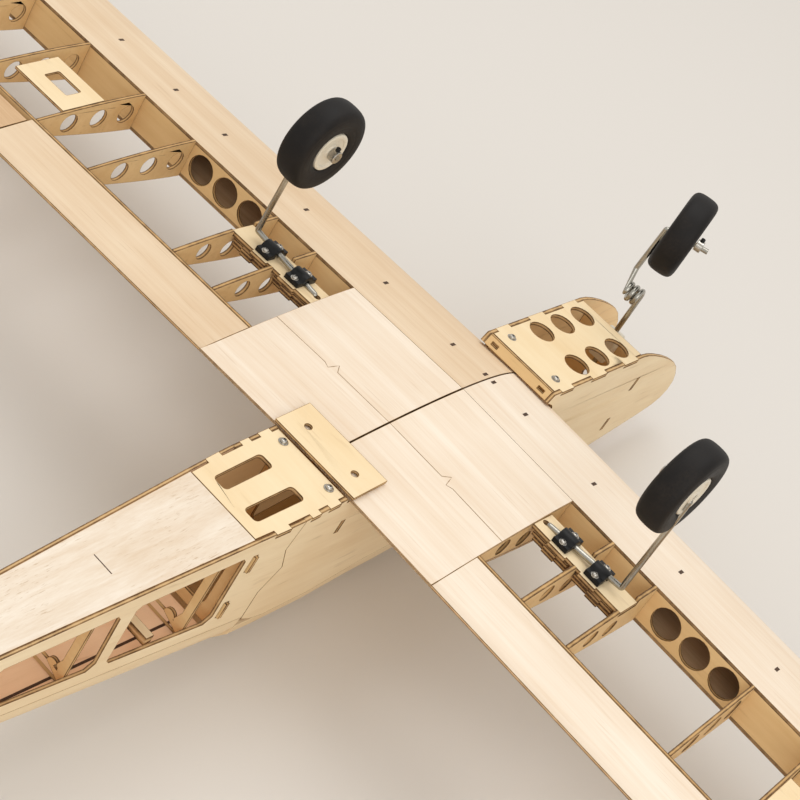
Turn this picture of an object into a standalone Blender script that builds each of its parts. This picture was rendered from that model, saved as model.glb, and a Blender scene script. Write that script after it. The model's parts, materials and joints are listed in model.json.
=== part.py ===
import math

import bmesh
import bpy
from mathutils import Matrix, Vector
from mathutils.geometry import tessellate_polygon

# A bare balsa and plywood radio-control aeroplane, lying on its back.
# Lengths are in millimetres in the aeroplane's own frame: X along the span (its right wing at +X),
# Y towards the tail, Z out of the belly, zero at the middle of the wing's trailing edge.
# Each vertex becomes metres when its mesh is made, and the whole is then laid on canopy and fin.

wingChord = 230.0
wingThickness = 0.135
halfSpan = 620.0
tipLength = 24.0
dihedral = 0.0273
skin = 2.0
ply = 3.0
gap = 0.3

sparY = -149.8
rearSparY = -44.6
ribStations = (102.5, 142.0, 180.5, 266.0, 319.5, 440.0)
slotStations = (4.0, 35.0, 100.5, 181.0, 266.5, 319.5, 440.0)
centreSkinEdge = 104.2
webHoles = (200.0, 225.5, 251.0)
webHoleRadius = 11.0
ribHoleYs = (-80.0, -109.0, -136.5)
ribHoleRadius = 7.6
aileronStart = 322.0
aileronEnd = halfSpan - tipLength - 2.0

fuselageHalfWidth = 33.0
tailHalfWidth = 4.9
seamY = 44.0
tailY = 600.0
sideTaper = (fuselageHalfWidth - tailHalfWidth) / (tailY - seamY)
innerHalf = fuselageHalfWidth - ply - gap
hatchRear = 79.0
bellyZ = -8.0
bellyTailZ = -68.0192
bellySlope = (bellyTailZ - bellyZ) / (tailY - hatchRear)
deckZ = -87.0
nosePlateZ = 18.0
nosePlateFront = -346.0
nosePlateRear = -223.4
noseHoleYs = (-271.0, -299.4, -327.6)
noseHoleX = fuselageHalfWidth - 15.6
plateScrewX = fuselageHalfWidth - 11.5
noseHoleRadius = 10.0
firewallY = -369.5
canopyZ = -128.0
canopyFlat = 14.0
canopyFront = -100.0

wireRadius = 2.0
wheelRadius = 32.5
wheelWidth = 22.0
hubRadius = 15.6
hubWidth = 17.0
boreRadius = wireRadius + 0.4
axleY = -115.3
axleZ = 96.0
gearX = 174.5
mainWheelX = gearX - wireRadius - wheelWidth / 2.0 - gap
plateTop = 12.0
noseLegY = -360.0
noseLegX = 15.5
coilZ = 46.0
coilRadius = 5.4
coilPitch = 2.0 * wireRadius + 0.5
noseAxleZ = 104.0
steerRest = math.radians(16.4)
bracketHalf = 7.0
bracketTop = 9.0
bracketBottom = -15.0

tailplaneZ = -77.0
tailplaneHalfSpan = 220.0
tailplaneFront = tailY - 88.0
tailplaneRear = tailY + 0.6
elevatorRear = tailY + 46.0
finTip = -215.0
finFront = tailY - 92.0
rudderRear = tailY + 62.0

liePitch = math.atan2(canopyZ - finTip, tailY - 15.0 - canopyFront)


def clearScene():
    for obj in list(bpy.data.objects):
        bpy.data.objects.remove(obj, do_unlink=True)


def makeMaterial(name, colour, roughness, metallic=0.0):
    material = bpy.data.materials.new(name)
    material.use_nodes = True
    shader = material.node_tree.nodes["Principled BSDF"]
    shader.inputs["Base Color"].default_value = (*colour, 1.0)
    shader.inputs["Roughness"].default_value = roughness
    shader.inputs["Metallic"].default_value = metallic
    material.diffuse_color = (*colour, 1.0)
    return material


def finish(name, builder, material, pivot=(0.0, 0.0, 0.0), smooth=False):
    """Turns a bmesh in millimetres into a named object whose origin is at the pivot."""
    bmesh.ops.recalc_face_normals(builder, faces=builder.faces)
    if builder.calc_volume(signed=True) < 0:
        bmesh.ops.reverse_faces(builder, faces=builder.faces)
    origin = Vector(pivot)
    for vertex in builder.verts:
        vertex.co = (vertex.co - origin) * 0.001
    for face in builder.faces:
        face.smooth = smooth
    mesh = bpy.data.meshes.new(name)
    builder.to_mesh(mesh)
    builder.free()
    obj = bpy.data.objects.new(name, mesh)
    obj.matrix_world = Matrix.Translation(origin * 0.001)
    mesh.materials.append(makeMaterial(name, *material))
    bpy.context.scene.collection.objects.link(obj)
    if smooth:
        mesh.set_sharp_from_angle(angle=math.radians(35.0))
    return obj


def toSpace(plane, a, b, t):
    """A point a, b of a flat outline and its height t, as x, y, z."""
    if plane == "yz":
        return (t, a, b)
    if plane == "xz":
        return (a, t, b)
    return (a, b, t)


def plate(name, material, outline, holes, plane, low, high, bend=None, pivot=(0.0, 0.0, 0.0)):
    """An outline with holes, as thick as high less low."""
    loops = [outline] + list(holes)
    flat = [[Vector((a, b, 0.0)) for a, b in loop] for loop in loops]
    triangles = tessellate_polygon(flat)
    points = [point for loop in loops for point in loop]
    builder = bmesh.new()
    rows = []
    for height in (low, high):
        row = []
        for a, b in points:
            x, y, z = toSpace(plane, a, b, height)
            if bend:
                x, y, z = bend(x, y, z)
            row.append(builder.verts.new((x, y, z)))
        rows.append(row)
    for triangle in triangles:
        builder.faces.new([rows[1][i] for i in triangle])
        builder.faces.new([rows[0][i] for i in reversed(triangle)])
    start = 0
    for loop in loops:
        count = len(loop)
        for i in range(count):
            j = start + (i + 1) % count
            i += start
            builder.faces.new((rows[0][i], rows[0][j], rows[1][j], rows[1][i]))
        start += count
    return finish(name, builder, material, pivot)


def loft(name, material, sections, capPlane, bend=None, pivot=(0.0, 0.0, 0.0), smooth=False):
    """A skin through closed sections that have the same number of points, capped at both ends."""
    builder = bmesh.new()
    rows = []
    for section in sections:
        row = []
        for point in section:
            if bend:
                point = bend(*point)
            row.append(builder.verts.new(point))
        rows.append(row)
    count = len(sections[0])
    for first, second in zip(rows, rows[1:]):
        for i in range(count):
            j = (i + 1) % count
            builder.faces.new((first[i], first[j], second[j], second[i]))
    a, b = {"yz": (1, 2), "xz": (0, 2), "xy": (0, 1)}[capPlane]
    for row, section in ((rows[0], sections[0]), (rows[-1], sections[-1])):
        flat = [Vector((point[a], point[b], 0.0)) for point in section]
        for triangle in tessellate_polygon([flat]):
            builder.faces.new([row[i] for i in triangle])
    return finish(name, builder, material, pivot, smooth)


def revolve(name, material, profile, centre, steps=40, bend=None):
    """A closed ring profile (radius, offset along X) turned round an axis along X at the centre."""
    builder = bmesh.new()
    rows = []
    for step in range(steps):
        angle = math.tau * step / steps
        row = []
        for radius, offset in profile:
            y = centre[1] + radius * math.cos(angle)
            z = centre[2] + radius * math.sin(angle)
            point = (centre[0] + offset, y, z)
            row.append(builder.verts.new(bend(*point) if bend else point))
        rows.append(row)
    count = len(profile)
    for step in range(steps):
        first = rows[step]
        second = rows[(step + 1) % steps]
        for i in range(count):
            j = (i + 1) % count
            builder.faces.new((first[i], first[j], second[j], second[i]))
    return finish(name, builder, material, bend(*centre) if bend else centre, smooth=True)


def tube(name, material, path, radius, pivot=(0.0, 0.0, 0.0), sides=12, bend=None):
    """A round wire along a path, with flat ends."""
    points = [Vector(bend(*point)) if bend else Vector(point) for point in path]
    builder = bmesh.new()
    tangents = []
    for i in range(len(points)):
        before = points[max(i - 1, 0)]
        after = points[min(i + 1, len(points) - 1)]
        tangents.append((after - before).normalized())
    across = tangents[0].orthogonal().normalized()
    rows = []
    for point, tangent in zip(points, tangents):
        across = (across - tangent * across.dot(tangent)).normalized()
        other = tangent.cross(across)
        row = []
        for side in range(sides):
            angle = math.tau * side / sides
            offset = across * math.cos(angle) + other * math.sin(angle)
            row.append(builder.verts.new(point + offset * radius))
        rows.append(row)
    for first, second in zip(rows, rows[1:]):
        for i in range(sides):
            j = (i + 1) % sides
            builder.faces.new((first[i], first[j], second[j], second[i]))
    builder.faces.new(list(reversed(rows[0])))
    builder.faces.new(rows[-1])
    return finish(name, builder, material, pivot, smooth=True)


def ring(a, b, radius, steps=16):
    return [
        (a + radius * math.cos(math.tau * i / steps), b + radius * math.sin(math.tau * i / steps))
        for i in range(steps)
    ]


def roundedBox(a0, a1, b0, b1, radius, steps=4):
    points = []
    corners = ((a1 - radius, b1 - radius, 0), (a0 + radius, b1 - radius, 1),
               (a0 + radius, b0 + radius, 2), (a1 - radius, b0 + radius, 3))
    for a, b, quarter in corners:
        for i in range(steps + 1):
            angle = (quarter + i / steps) * math.pi / 2
            points.append((a + radius * math.cos(angle), b + radius * math.sin(angle)))
    return points


def drop(x, y, z):
    """Lowers a point of either wing half by the dihedral."""
    return (x, y, z - abs(x) * dihedral)


def halfThickness(y):
    s = min(max((y + wingChord) / wingChord, 0.0), 1.0)
    curve = 0.2969 * math.sqrt(s) - 0.1260 * s - 0.3516 * s**2 + 0.2843 * s**3 - 0.1036 * s**4
    return 5.0 * wingThickness * wingChord * curve


def noseCurve(fromY, offset, steps=14):
    """The wing section from fromY forwards round the leading edge and back, moved in by the offset."""
    span = math.acos(1.0 - 2.0 * (fromY + wingChord) / wingChord / 2.0)
    ys = [wingChord * (1.0 - math.cos(span * i / steps)) - wingChord for i in range(steps, -1, -1)]
    upper = [(y, halfThickness(y)) for y in ys]
    lower = [(y, -z) for y, z in reversed(upper[:-1])]
    points = upper + lower
    moved = []
    for i, (y, z) in enumerate(points):
        y0, z0 = points[max(i - 1, 0)]
        y1, z1 = points[min(i + 1, len(points) - 1)]
        length = math.hypot(y1 - y0, z1 - z0)
        moved.append((y - offset * (z1 - z0) / length, z + offset * (y1 - y0) / length))
    moved[0] = (fromY, moved[0][1])
    moved[-1] = (fromY, moved[-1][1])
    return moved


def hw(y):
    """Half the fuselage's width at y."""
    return fuselageHalfWidth - sideTaper * max(y - seamY, 0.0)


def bellyLine(y):
    """Height of the belly behind the wing."""
    if y < hatchRear:
        return bellyZ * (y - 2.0) / (hatchRear - 2.0)
    return bellyZ + bellySlope * (y - hatchRear)


balsa = ((0.86, 0.74, 0.56), 0.75)
balsaWarm = ((0.82, 0.69, 0.50), 0.75)
plywood = ((0.80, 0.64, 0.40), 0.70)
rubberBlack = ((0.018, 0.017, 0.016), 0.80)
hubWhite = ((0.80, 0.78, 0.71), 0.45)
nylonBlack = ((0.012, 0.012, 0.012), 0.40)
wireSteel = ((0.62, 0.60, 0.56), 0.28, 1.0)


def leadingSkin(side, tag):
    outer = noseCurve(sparY, 0.0)
    inner = noseCurve(sparY, skin)
    outline = outer + list(reversed(inner))
    end = halfSpan - tipLength - gap
    body = plate("le_skin_" + tag, balsa, outline, [], "yz", side * 0.6, side * end, drop)
    builder = bmesh.new()
    for x in slotStations:
        z = halfThickness(-182.5) - x * dihedral
        shape = bmesh.ops.create_cube(builder, size=1.0)
        for vertex in shape["verts"]:
            vertex.co.x = vertex.co.x * 2.4 + side * x
            vertex.co.y = vertex.co.y * 5.2 - 182.5
            vertex.co.z = vertex.co.z * 7.0 + z
    cutter = finish("slot_cutter_" + tag, builder, balsa)
    cutter.hide_render = True
    cutter.display_type = "WIRE"
    cut = body.modifiers.new("slots", "BOOLEAN")
    cut.operation = "DIFFERENCE"
    cut.solver = "EXACT"
    cut.object = cutter


def trailingSkin(side, tag):
    ys = [rearSparY + gap + (-2.0 - rearSparY) * i / 6 for i in range(7)]
    outer = [(y, halfThickness(y)) for y in ys] + [(-0.3, 1.0), (-0.3, -1.0)]
    outer += [(y, -halfThickness(y)) for y in reversed(ys)]
    inner = [(y, max(halfThickness(y) - 1.7, 0.35)) for y in ys[:-1]]
    inner += [(y, -z) for y, z in reversed(inner)]
    outline = outer + list(reversed(inner))
    plate("te_skin_" + tag, balsa, outline, [], "yz", side * (centreSkinEdge + gap),
          side * (ribStations[4] + 1.4), drop)


def centreSkin(side, tag):
    """The sheeting of the middle panel, round from the spar to the trailing edge, closed at its root."""
    sections = []
    front = sparY + gap
    ys = [front + (-12.0 - front) * i / 12 for i in range(13)] + [-0.3]
    for y in ys:
        z = max(halfThickness(y), 1.0)
        inside = max(z - skin, 0.25)
        x0 = side * 0.6
        x1 = side * centreSkinEdge
        x2 = side * 3.6
        sections.append([
            (x0, y, z), (x1, y, z), (x1, y, inside), (x2, y, inside),
            (x2, y, -inside), (x1, y, -inside), (x1, y, -z), (x0, y, -z),
        ])
    loft("centre_skin_" + tag, balsa, sections, "xz", drop)


def sparWeb(side, tag):
    z = halfThickness(sparY) - skin - gap
    x0 = 0.6
    x1 = halfSpan - tipLength - gap
    outline = [(side * x0, -z), (side * x1, -z), (side * x1, z), (side * x0, z)]
    holes = [ring(side * x, 0.0, webHoleRadius, 20) for x in webHoles]
    plate("spar_web_" + tag, plywood, outline, holes, "xz", sparY - ply, sparY, drop)


def rearSpar(side, tag):
    z = halfThickness(rearSparY - 1.5)
    low = halfThickness(rearSparY) - skin - gap
    x0 = 3.6 + gap
    step = centreSkinEdge + gap
    x1 = halfSpan - tipLength - gap
    outline = [(side * x0, -low), (side * step, -low), (side * step, -z), (side * x1, -z),
               (side * x1, z), (side * step, z), (side * step, low), (side * x0, low)]
    plate("rear_spar_" + tag, plywood, outline, [], "xz", rearSparY - 2.9, rearSparY, drop)


def ribs(side, tag):
    for number, x in enumerate(ribStations):
        low = sparY + gap
        high = rearSparY - 2.9 - gap
        inset = skin + gap if number == 0 else 0.0
        ys = [low + (high - low) * i / 10 for i in range(11)]
        upper = [(y, halfThickness(y) - inset) for y in ys]
        if number in (1, 2):
            front = axleY - 11.4
            rear = axleY + 11.4
            floor = plateTop - ply - gap
            upper = [(y, z) for y, z in upper if y < front or y > rear]
            step = [(front, halfThickness(front) - inset), (front, floor),
                    (rear, floor), (rear, halfThickness(rear) - inset)]
            upper = sorted(upper[:sum(y < front for y, z in upper)]) + step + \
                sorted(point for point in upper if point[0] > rear)
        lower = [(y, -halfThickness(y) + inset) for y in reversed(ys)]
        holes = ribHoleYs if number > 2 else ribHoleYs[:2]
        rings = [ring(y, 0.0, ribHoleRadius) for y in holes]
        if number < 3:
            rings = [ring(ribHoleYs[0], 0.0, 6.6), ring(-106.5, -3.0, 6.6)]
        half = 1.3 if number > 2 else 1.5
        plate("rib_%d_%s" % (number + 1, tag), plywood, upper + lower, rings, "yz",
              side * (x - half), side * (x + half), drop)


def gearPlate(side, tag):
    front = axleY - 11.0
    rear = axleY + 10.6
    x0 = centreSkinEdge + gap
    x1 = ribStations[2] + 1.2
    outline = [
        (side * x0, front), (side * x1, front), (side * x1, rear), (side * 160.5, rear),
        (side * 160.5, rear + 2.2), (side * 146.5, rear + 2.2), (side * 146.5, rear),
        (side * 134.0, rear), (side * 134.0, rear + 2.2), (side * 119.5, rear + 2.2),
        (side * 119.5, rear), (side * x0, rear),
    ]
    hook = ring(side * 108.0, axleY, 2.5, 12)
    plate("gear_plate_" + tag, plywood, outline, [hook], "xy", plateTop - ply, plateTop, drop)


def strap(side, tag, name, x):
    base = plateTop + gap
    top = plateTop + 2.0 * wireRadius + 3.6
    inner = wireRadius + 0.3
    outline = [
        (axleY - 10.0, base), (axleY - inner, base),
        (axleY - inner, base + 2.2),
        (axleY - inner * 0.6, plateTop + 2.0 * wireRadius + 0.5),
        (axleY + inner * 0.6, plateTop + 2.0 * wireRadius + 0.5),
        (axleY + inner, base + 2.2),
        (axleY + inner, base), (axleY + 10.0, base), (axleY + 10.0, base + 3.6),
        (axleY + 4.6, base + 3.6), (axleY + 2.6, top), (axleY - 2.6, top),
        (axleY - 4.6, base + 3.6), (axleY - 10.0, base + 3.6),
    ]
    plate("strap_%s_%s" % (name, tag), nylonBlack, outline, [], "yz",
          side * (x - 6.2), side * (x + 6.2), drop)


def gearWire(side, tag):
    z = plateTop + wireRadius + gap
    bendRadius = 5.0
    path = [(side * 111.0, axleY, z - 111.0 * dihedral)]
    path.append((side * (gearX - bendRadius - 1.0), axleY, z - gearX * dihedral + 0.15))
    lowZ = z - gearX * dihedral
    for i in range(1, 7):
        angle = -math.pi / 2 + math.pi / 2 * i / 6
        path.append((side * (gearX - bendRadius + bendRadius * math.cos(angle)), axleY,
                     lowZ + bendRadius + bendRadius * math.sin(angle)))
    topBend = 4.0
    for i in range(7):
        angle = math.pi / 2 * i / 6
        path.append((side * (gearX - topBend + topBend * math.cos(angle)), axleY,
                     axleZ - topBend + topBend * math.sin(angle)))
    path.append((side * 145.5, axleY, axleZ))
    pivot = (side * 140.0, axleY, z - 140.0 * dihedral)
    tube("gear_wire_" + tag, wireSteel, path, wireRadius, pivot)


def steer(x, y, z):
    """Turns a point of the nose leg about its upright axis, as the wheel stands steered at rest."""
    along = y - noseLegY
    return (x * math.cos(steerRest) - along * math.sin(steerRest),
            noseLegY + x * math.sin(steerRest) + along * math.cos(steerRest), z)


def wheel(tag, centre, bend=None):
    half = wheelWidth / 2.0
    seat = hubRadius - 1.2 + gap
    profile = [
        (seat, -half + 3.6), (hubRadius + 3.0, -half + 1.2), (wheelRadius * 0.72, -half),
        (wheelRadius * 0.87, -half + 1.2), (wheelRadius * 0.955, -half + 4.0),
        (wheelRadius * 0.992, -half + 7.6), (wheelRadius * 0.992, half - 7.6),
        (wheelRadius * 0.955, half - 4.0),
        (wheelRadius * 0.87, half - 1.2), (wheelRadius * 0.72, half),
        (hubRadius + 3.0, half - 1.2), (seat, half - 3.6),
    ]
    revolve("tyre_" + tag, rubberBlack, profile, centre, 40, bend)
    rim = hubRadius - 1.2
    wide = hubWidth / 2.0
    hubProfile = [
        (boreRadius, -wide), (5.0, -wide), (5.4, -wide + 2.4), (11.0, -wide + 3.0),
        (12.4, -wide + 1.4), (rim, -wide + 1.6), (rim, wide - 1.6), (12.4, wide - 1.4),
        (11.0, wide - 3.0), (5.4, wide - 2.4), (5.0, wide), (boreRadius, wide),
    ]
    revolve("hub_" + tag, hubWhite, hubProfile, centre, 32, bend)


def aileron(side, tag):
    y0 = rearSparY + 2.2
    z0 = halfThickness(y0) - 0.4
    pivot = drop(side * aileronStart, rearSparY + 1.0, 0.0)
    outline = [(y0 - 1.0, 0.0), (y0 + 1.6, z0), (-22.0, halfThickness(-22.0)), (-0.3, 1.0),
               (-0.3, -1.0), (-22.0, -halfThickness(-22.0)), (y0 + 1.6, -z0)]
    plate("aileron_" + tag, balsa, outline, [], "yz", side * aileronStart, side * aileronEnd, drop, pivot)


def wingTip(side, tag):
    sections = []
    for x, grow in ((0.0, 1.0), (8.0, 0.95), (16.0, 0.80), (21.0, 0.60), (24.0, 0.34)):
        front = 34.0 * (1.0 - grow)
        back = 22.0 * (1.0 - grow)
        ring0 = []
        for i in range(13):
            angle = math.pi * i / 12
            y = -wingChord / 2.0 * (1.0 - math.cos(angle))
            z = halfThickness(y) * grow + 0.4
            t = -y / wingChord
            ring0.append((y + front * t - back * (1.0 - t), z))
        outline = ring0 + [(y, -z) for y, z in reversed(ring0[1:-1])]
        sections.append([(side * (halfSpan - tipLength + x), y, z) for y, z in outline])
    loft("wing_tip_" + tag, balsaWarm, sections, "yz", drop, smooth=True)


def wing():
    for side, tag in ((1, "R"), (-1, "L")):
        leadingSkin(side, tag)
        trailingSkin(side, tag)
        centreSkin(side, tag)
        sparWeb(side, tag)
        rearSpar(side, tag)
        ribs(side, tag)
        gearPlate(side, tag)
        strap(side, tag, "inner", 125.5)
        strap(side, tag, "outer", 154.0)
        gearWire(side, tag)
        wheel(tag, (side * mainWheelX, axleY, axleZ))
        aileron(side, tag)
        wingTip(side, tag)


def boltPlate():
    edge = fuselageHalfWidth + 2.2
    bolt = fuselageHalfWidth - 12.0
    outline = [(-edge, -30.0), (edge, -30.0), (edge, 1.4), (-edge, 1.4)]
    holes = [ring(x, -14.5, 2.6, 16) for x in (-bolt, bolt)]

    def rest(x, y, z):
        return (x, y, z + max(halfThickness(min(y, 0.0)), 1.0) + gap)

    plate("wing_bolt_plate", plywood, outline, holes, "xy", 0.0, 2.0, rest)


def edgeWithNotches(start, end, tabs, height, depth):
    """Points along a plate's edge from start to end, stepping down by depth at each tab."""
    forward = 1.0 if end > start else -1.0
    points = [(start, height(start))]
    for low, high in sorted(tabs, reverse=forward < 0):
        first, second = (low, high) if forward > 0 else (high, low)
        first -= forward * gap
        second += forward * gap
        points.append((first, height(first)))
        points.append((first, height(first) - depth))
        points.append((second, height(second) - depth))
        points.append((second, height(second)))
    points.append((end, height(end)))
    return points


noseTabs = ((-338.0, -318.0), (-292.0, -272.0), (-246.0, -230.0))
hatchTabs = ((8.0, 18.0), (26.0, 34.0))
hatchTabsRear = ((52.0, 64.0),)
seam = ((39.5, None), (43.2, -27.0), (33.7, -46.0), (44.4, -64.0))


def frontSide(side, tag):
    outline = edgeWithNotches(nosePlateFront, -220.0, noseTabs, lambda y: nosePlateZ, ply + gap)
    outline.append((-216.4, 11.6))
    pocket = []
    for y, z in noseCurve(-2.0, -0.9, 16):
        if z <= 0.0 or y < -217.0:
            pocket.append((y, min(z, -1.5) - 1.1 if z < 0 else z + 0.1))
    outline += pocket
    outline += [(1.6, -2.8), (1.6, -0.2)]
    outline += edgeWithNotches(2.2, seam[0][0], hatchTabs, bellyLine, ply + gap)
    outline += [(y, z) for y, z in seam[1:]]
    outline += [(44.4, -88.5), (34.0, -93.0), (20.0, -95.8), (-28.0, -95.0), (-52.0, -91.0), (-78.0, -87.0),
                (-108.0, -85.2), (-220.0, -85.0), (-330.0, -84.0), (-361.0, -81.0), (-400.0, -73.4),
                (-432.0, -66.5), (-447.0, -62.2), (-455.0, -57.0), (-458.6, -50.0), (-457.0, -40.0),
                (-450.0, -30.0), (-438.0, -18.5), (-424.0, -9.5), (-408.0, -2.0), (-390.0, 5.4),
                (-370.0, 12.4), (-356.0, 16.4)]
    slots = [roundedBox(-370.2, -365.8, -22.6, -9.2, 0.2, 1),
             roundedBox(-370.2, -365.8, -64.6, -52.2, 0.2, 1),
             roundedBox(-12.2, -7.8, -33.8, -22.6, 0.2, 1)]
    plate("side_front_" + tag, plywood, outline, slots, "yz",
          side * (fuselageHalfWidth - ply), side * fuselageHalfWidth)


def rearSide(side, tag):
    thick = 2.4
    outline = [(y + gap, z if z is not None else bellyLine(y + gap)) for y, z in reversed(seam)]
    outline += edgeWithNotches(39.9, hatchRear, hatchTabsRear, bellyLine, ply + gap)[1:]
    outline += [(tailY, bellyLine(tailY)), (tailY, tailplaneZ + 2.8),
                (tailplaneFront - 1.0, tailplaneZ + 2.8), (tailplaneFront - 1.0, tailplaneZ - 2.8),
                (tailY, tailplaneZ - 2.8), (tailY, deckZ), (44.7, deckZ)]
    windows = []
    for y0, y1 in ((81.0, 163.5), (174.5, 257.0), (268.0, 350.0), (361.0, 430.0)):
        top0 = bellyLine(y0) - 12.0
        top1 = bellyLine(y1) - 11.0
        windows.append([(y0, top0 - 3.0), (y0 - 1.5, -72.0), (y0 + 3.5, -77.0), (y1 - 3.0, -77.0),
                        (y1, -74.0), (y1, top1 - 3.0), (y1 - 3.0, top1), (y0 + 3.0, top0)])
    slots = [roundedBox(71.4, 75.8, -34.4, -20.6, 0.2, 1), roundedBox(71.4, 75.8, -74.6, -61.0, 0.2, 1)]

    def taper(x, y, z):
        return (x - side * (fuselageHalfWidth - hw(y)), y, z)

    plate("side_rear_" + tag, balsaWarm, outline, windows + slots, "yz",
          side * (fuselageHalfWidth - thick), side * fuselageHalfWidth, taper)


def former(name, y, top, bottom, tabs, halfWidth, opening, holes=()):
    """A cross plate between the sides with tabs through their slots."""
    edge = halfWidth
    reach = fuselageHalfWidth
    right = [(edge, bottom)]
    for low, high in tabs:
        right += [(edge, low), (reach, low), (reach, high), (edge, high)]
    right.append((edge, top))
    left = [(-x, z) for x, z in reversed(right)]
    outline = right + left
    loops = list(holes)
    if opening:
        x, low, high = opening
        loops.append(roundedBox(-x, x, low, high, 6.0))
    plate(name, plywood, outline, loops, "xz", y - ply / 2.0, y + ply / 2.0)


def nosePlate():
    edge = innerHalf
    right = [(edge, nosePlateFront)]
    for low, high in noseTabs:
        right += [(edge, low), (fuselageHalfWidth, low), (fuselageHalfWidth, high), (edge, high)]
    right.append((edge, nosePlateRear))
    outline = right + [(-x, y) for x, y in reversed(right)]
    holes = [ring(x, y, noseHoleRadius, 20) for x in (-noseHoleX, noseHoleX) for y in noseHoleYs]
    holes += [ring(x, -236.0, 1.3, 12) for x in (-plateScrewX, plateScrewX)]
    plate("nose_plate", plywood, outline, holes, "xy", nosePlateZ - ply, nosePlateZ)


def noseFormer():
    """The narrow sloping cross piece over the wing's leading edge."""
    edge = innerHalf
    slot = fuselageHalfWidth - 10.5
    low = 11.2
    outline = [(-edge, low), (edge, low), (edge, nosePlateZ), (-edge, nosePlateZ)]
    slots = [roundedBox(x - 3.0, x + 3.0, 13.2, 15.6, 0.2, 1) for x in (-slot, slot)]

    def lean(x, y, z):
        return (x, y - (z - low) * 0.5, z)

    plate("nose_former", plywood, outline, slots, "xz", -219.4, -216.9, lean)


def hatch():
    edge = innerHalf
    right = [(edge, 2.4)]
    for low, high in hatchTabs + hatchTabsRear:
        right += [(edge, low), (fuselageHalfWidth, low), (fuselageHalfWidth, high), (edge, high)]
    right.append((edge, hatchRear))
    outline = right + [(-x, y) for x, y in reversed(right)]
    near = fuselageHalfWidth - 24.8
    far = fuselageHalfWidth - 13.2
    screw = fuselageHalfWidth - 12.6
    holes = [roundedBox(near, far, 28.0, 69.6, 3.0), roundedBox(-far, -near, 28.0, 69.6, 3.0)]
    holes += [ring(x, 7.2, 1.3, 12) for x in (-screw, screw)]

    def tilt(x, y, z):
        narrow = fuselageHalfWidth - hw(y)
        if abs(x) <= edge + 1.0:
            narrow *= abs(x) / edge
        return (x - math.copysign(narrow, x), y, z + bellyLine(y))

    plate("belly_hatch", plywood, outline, holes, "xy", -ply, 0.0, tilt)


def bellySheet():
    low = hatchRear + 0.5
    inset = 2.4 + gap
    outline = [(hw(low) - inset, low), (hw(tailY) - inset, tailY), (-hw(tailY) + inset, tailY),
               (-hw(low) + inset, low)]

    def tilt(x, y, z):
        return (x, y, z + bellyLine(y))

    plate("belly_sheet", balsaWarm, outline, [], "xy", -2.0, 0.0, tilt)


def deckSection(y, halfWidth, base, height, thick, steps=12):
    outer = []
    inner = []
    for i in range(steps + 1):
        angle = math.pi * i / steps
        outer.append((halfWidth * math.cos(angle), y, base - height * math.sin(angle)))
        inner.append(((halfWidth - thick) * math.cos(angle), y,
                      base - max(height - thick, 0.6) * math.sin(angle)))
    return outer + list(reversed(inner))


def turtledeck():
    base = deckZ - gap
    stations = ((45.2, 36.0), (160.0, 31.0), (300.0, 24.0), (420.0, 17.0), (finFront - 2.0, 12.0))
    sections = [deckSection(y, hw(y), base, height, 2.0) for y, height in stations]
    loft("turtledeck", balsa, sections, "xz", smooth=True)


def canopySection(y, base, top, thick=2.4):
    flat = canopyFlat
    wide = fuselageHalfWidth - 1.0
    shoulder = base - (base - top) * 0.30
    outer = [(wide, base), (wide - 1.2, shoulder), (flat + 7.0, top + (base - top) * 0.16), (flat, top)]
    outer += [(-x, z) for x, z in reversed(outer)]
    inner = [(wide - thick, base), (wide - thick - 1.2, shoulder + 0.6),
             (flat + 5.2, top + (base - top) * 0.16 + thick * 0.6), (flat - 0.8, top + thick)]
    inner += [(-x, z) for x, z in reversed(inner)]
    return [(x, y, z) for x, z in outer] + [(x, y, z) for x, z in reversed(inner)]


def canopy():
    stations = ((-361.0, -84.6, -90.0), (-220.0, -85.4, -93.0), (-170.0, -85.5, -104.0),
                (canopyFront, -86.0, canopyZ), (-76.0, -87.6, canopyZ), (-52.0, -91.4, canopyZ),
                (-28.0, -95.4, canopyZ), (20.0, -96.2, canopyZ + 0.5), (44.8, -96.4, canopyZ + 4.0))
    sections = [canopySection(y, base, top) for y, base, top in stations]
    loft("canopy", balsa, sections, "xz")


def noseBracket():
    """The bearing block against the firewall, which the nose leg turns in."""
    bore = ring(0.0, noseLegY, wireRadius + 0.1, 20)
    block = roundedBox(-bracketHalf, bracketHalf, firewallY + ply + gap, noseLegY + 5.4, 1.6, 3)
    plate("nose_bracket", nylonBlack, block, [bore], "xy", bracketBottom, bracketTop)


def noseLeg():
    path = [(0.0, noseLegY, bracketBottom - 7.0), (0.0, noseLegY, bracketTop), (0.0, noseLegY, coilZ - 9.0)]
    turns = 2.5
    pitch = coilPitch
    steps = 12
    count = int(turns * steps)
    startX = 0.0
    centreY = noseLegY + coilRadius
    for i in range(count + 1):
        angle = math.pi + math.tau * i / steps
        x = startX + pitch * i / steps
        y = centreY + coilRadius * math.cos(angle)
        z = coilZ - coilRadius * math.sin(angle)
        path.append((x, y, z))
    endX = startX + pitch * turns
    endY = centreY + coilRadius
    path += [(endX + 0.3, endY - 0.6, coilZ + 9.0), (noseLegX, noseLegY, noseAxleZ - 12.0)]
    bendRadius = 4.0
    for i in range(7):
        angle = math.pi / 2 * i / 6
        path.append((noseLegX + 1.0 - bendRadius + bendRadius * math.cos(angle), noseLegY,
                     noseAxleZ - bendRadius + bendRadius * math.sin(angle)))
    path.append((-20.5, noseLegY, noseAxleZ))
    tube("nose_leg", wireSteel, path, wireRadius, (0.0, noseLegY, 0.0), 10, steer)


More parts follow.
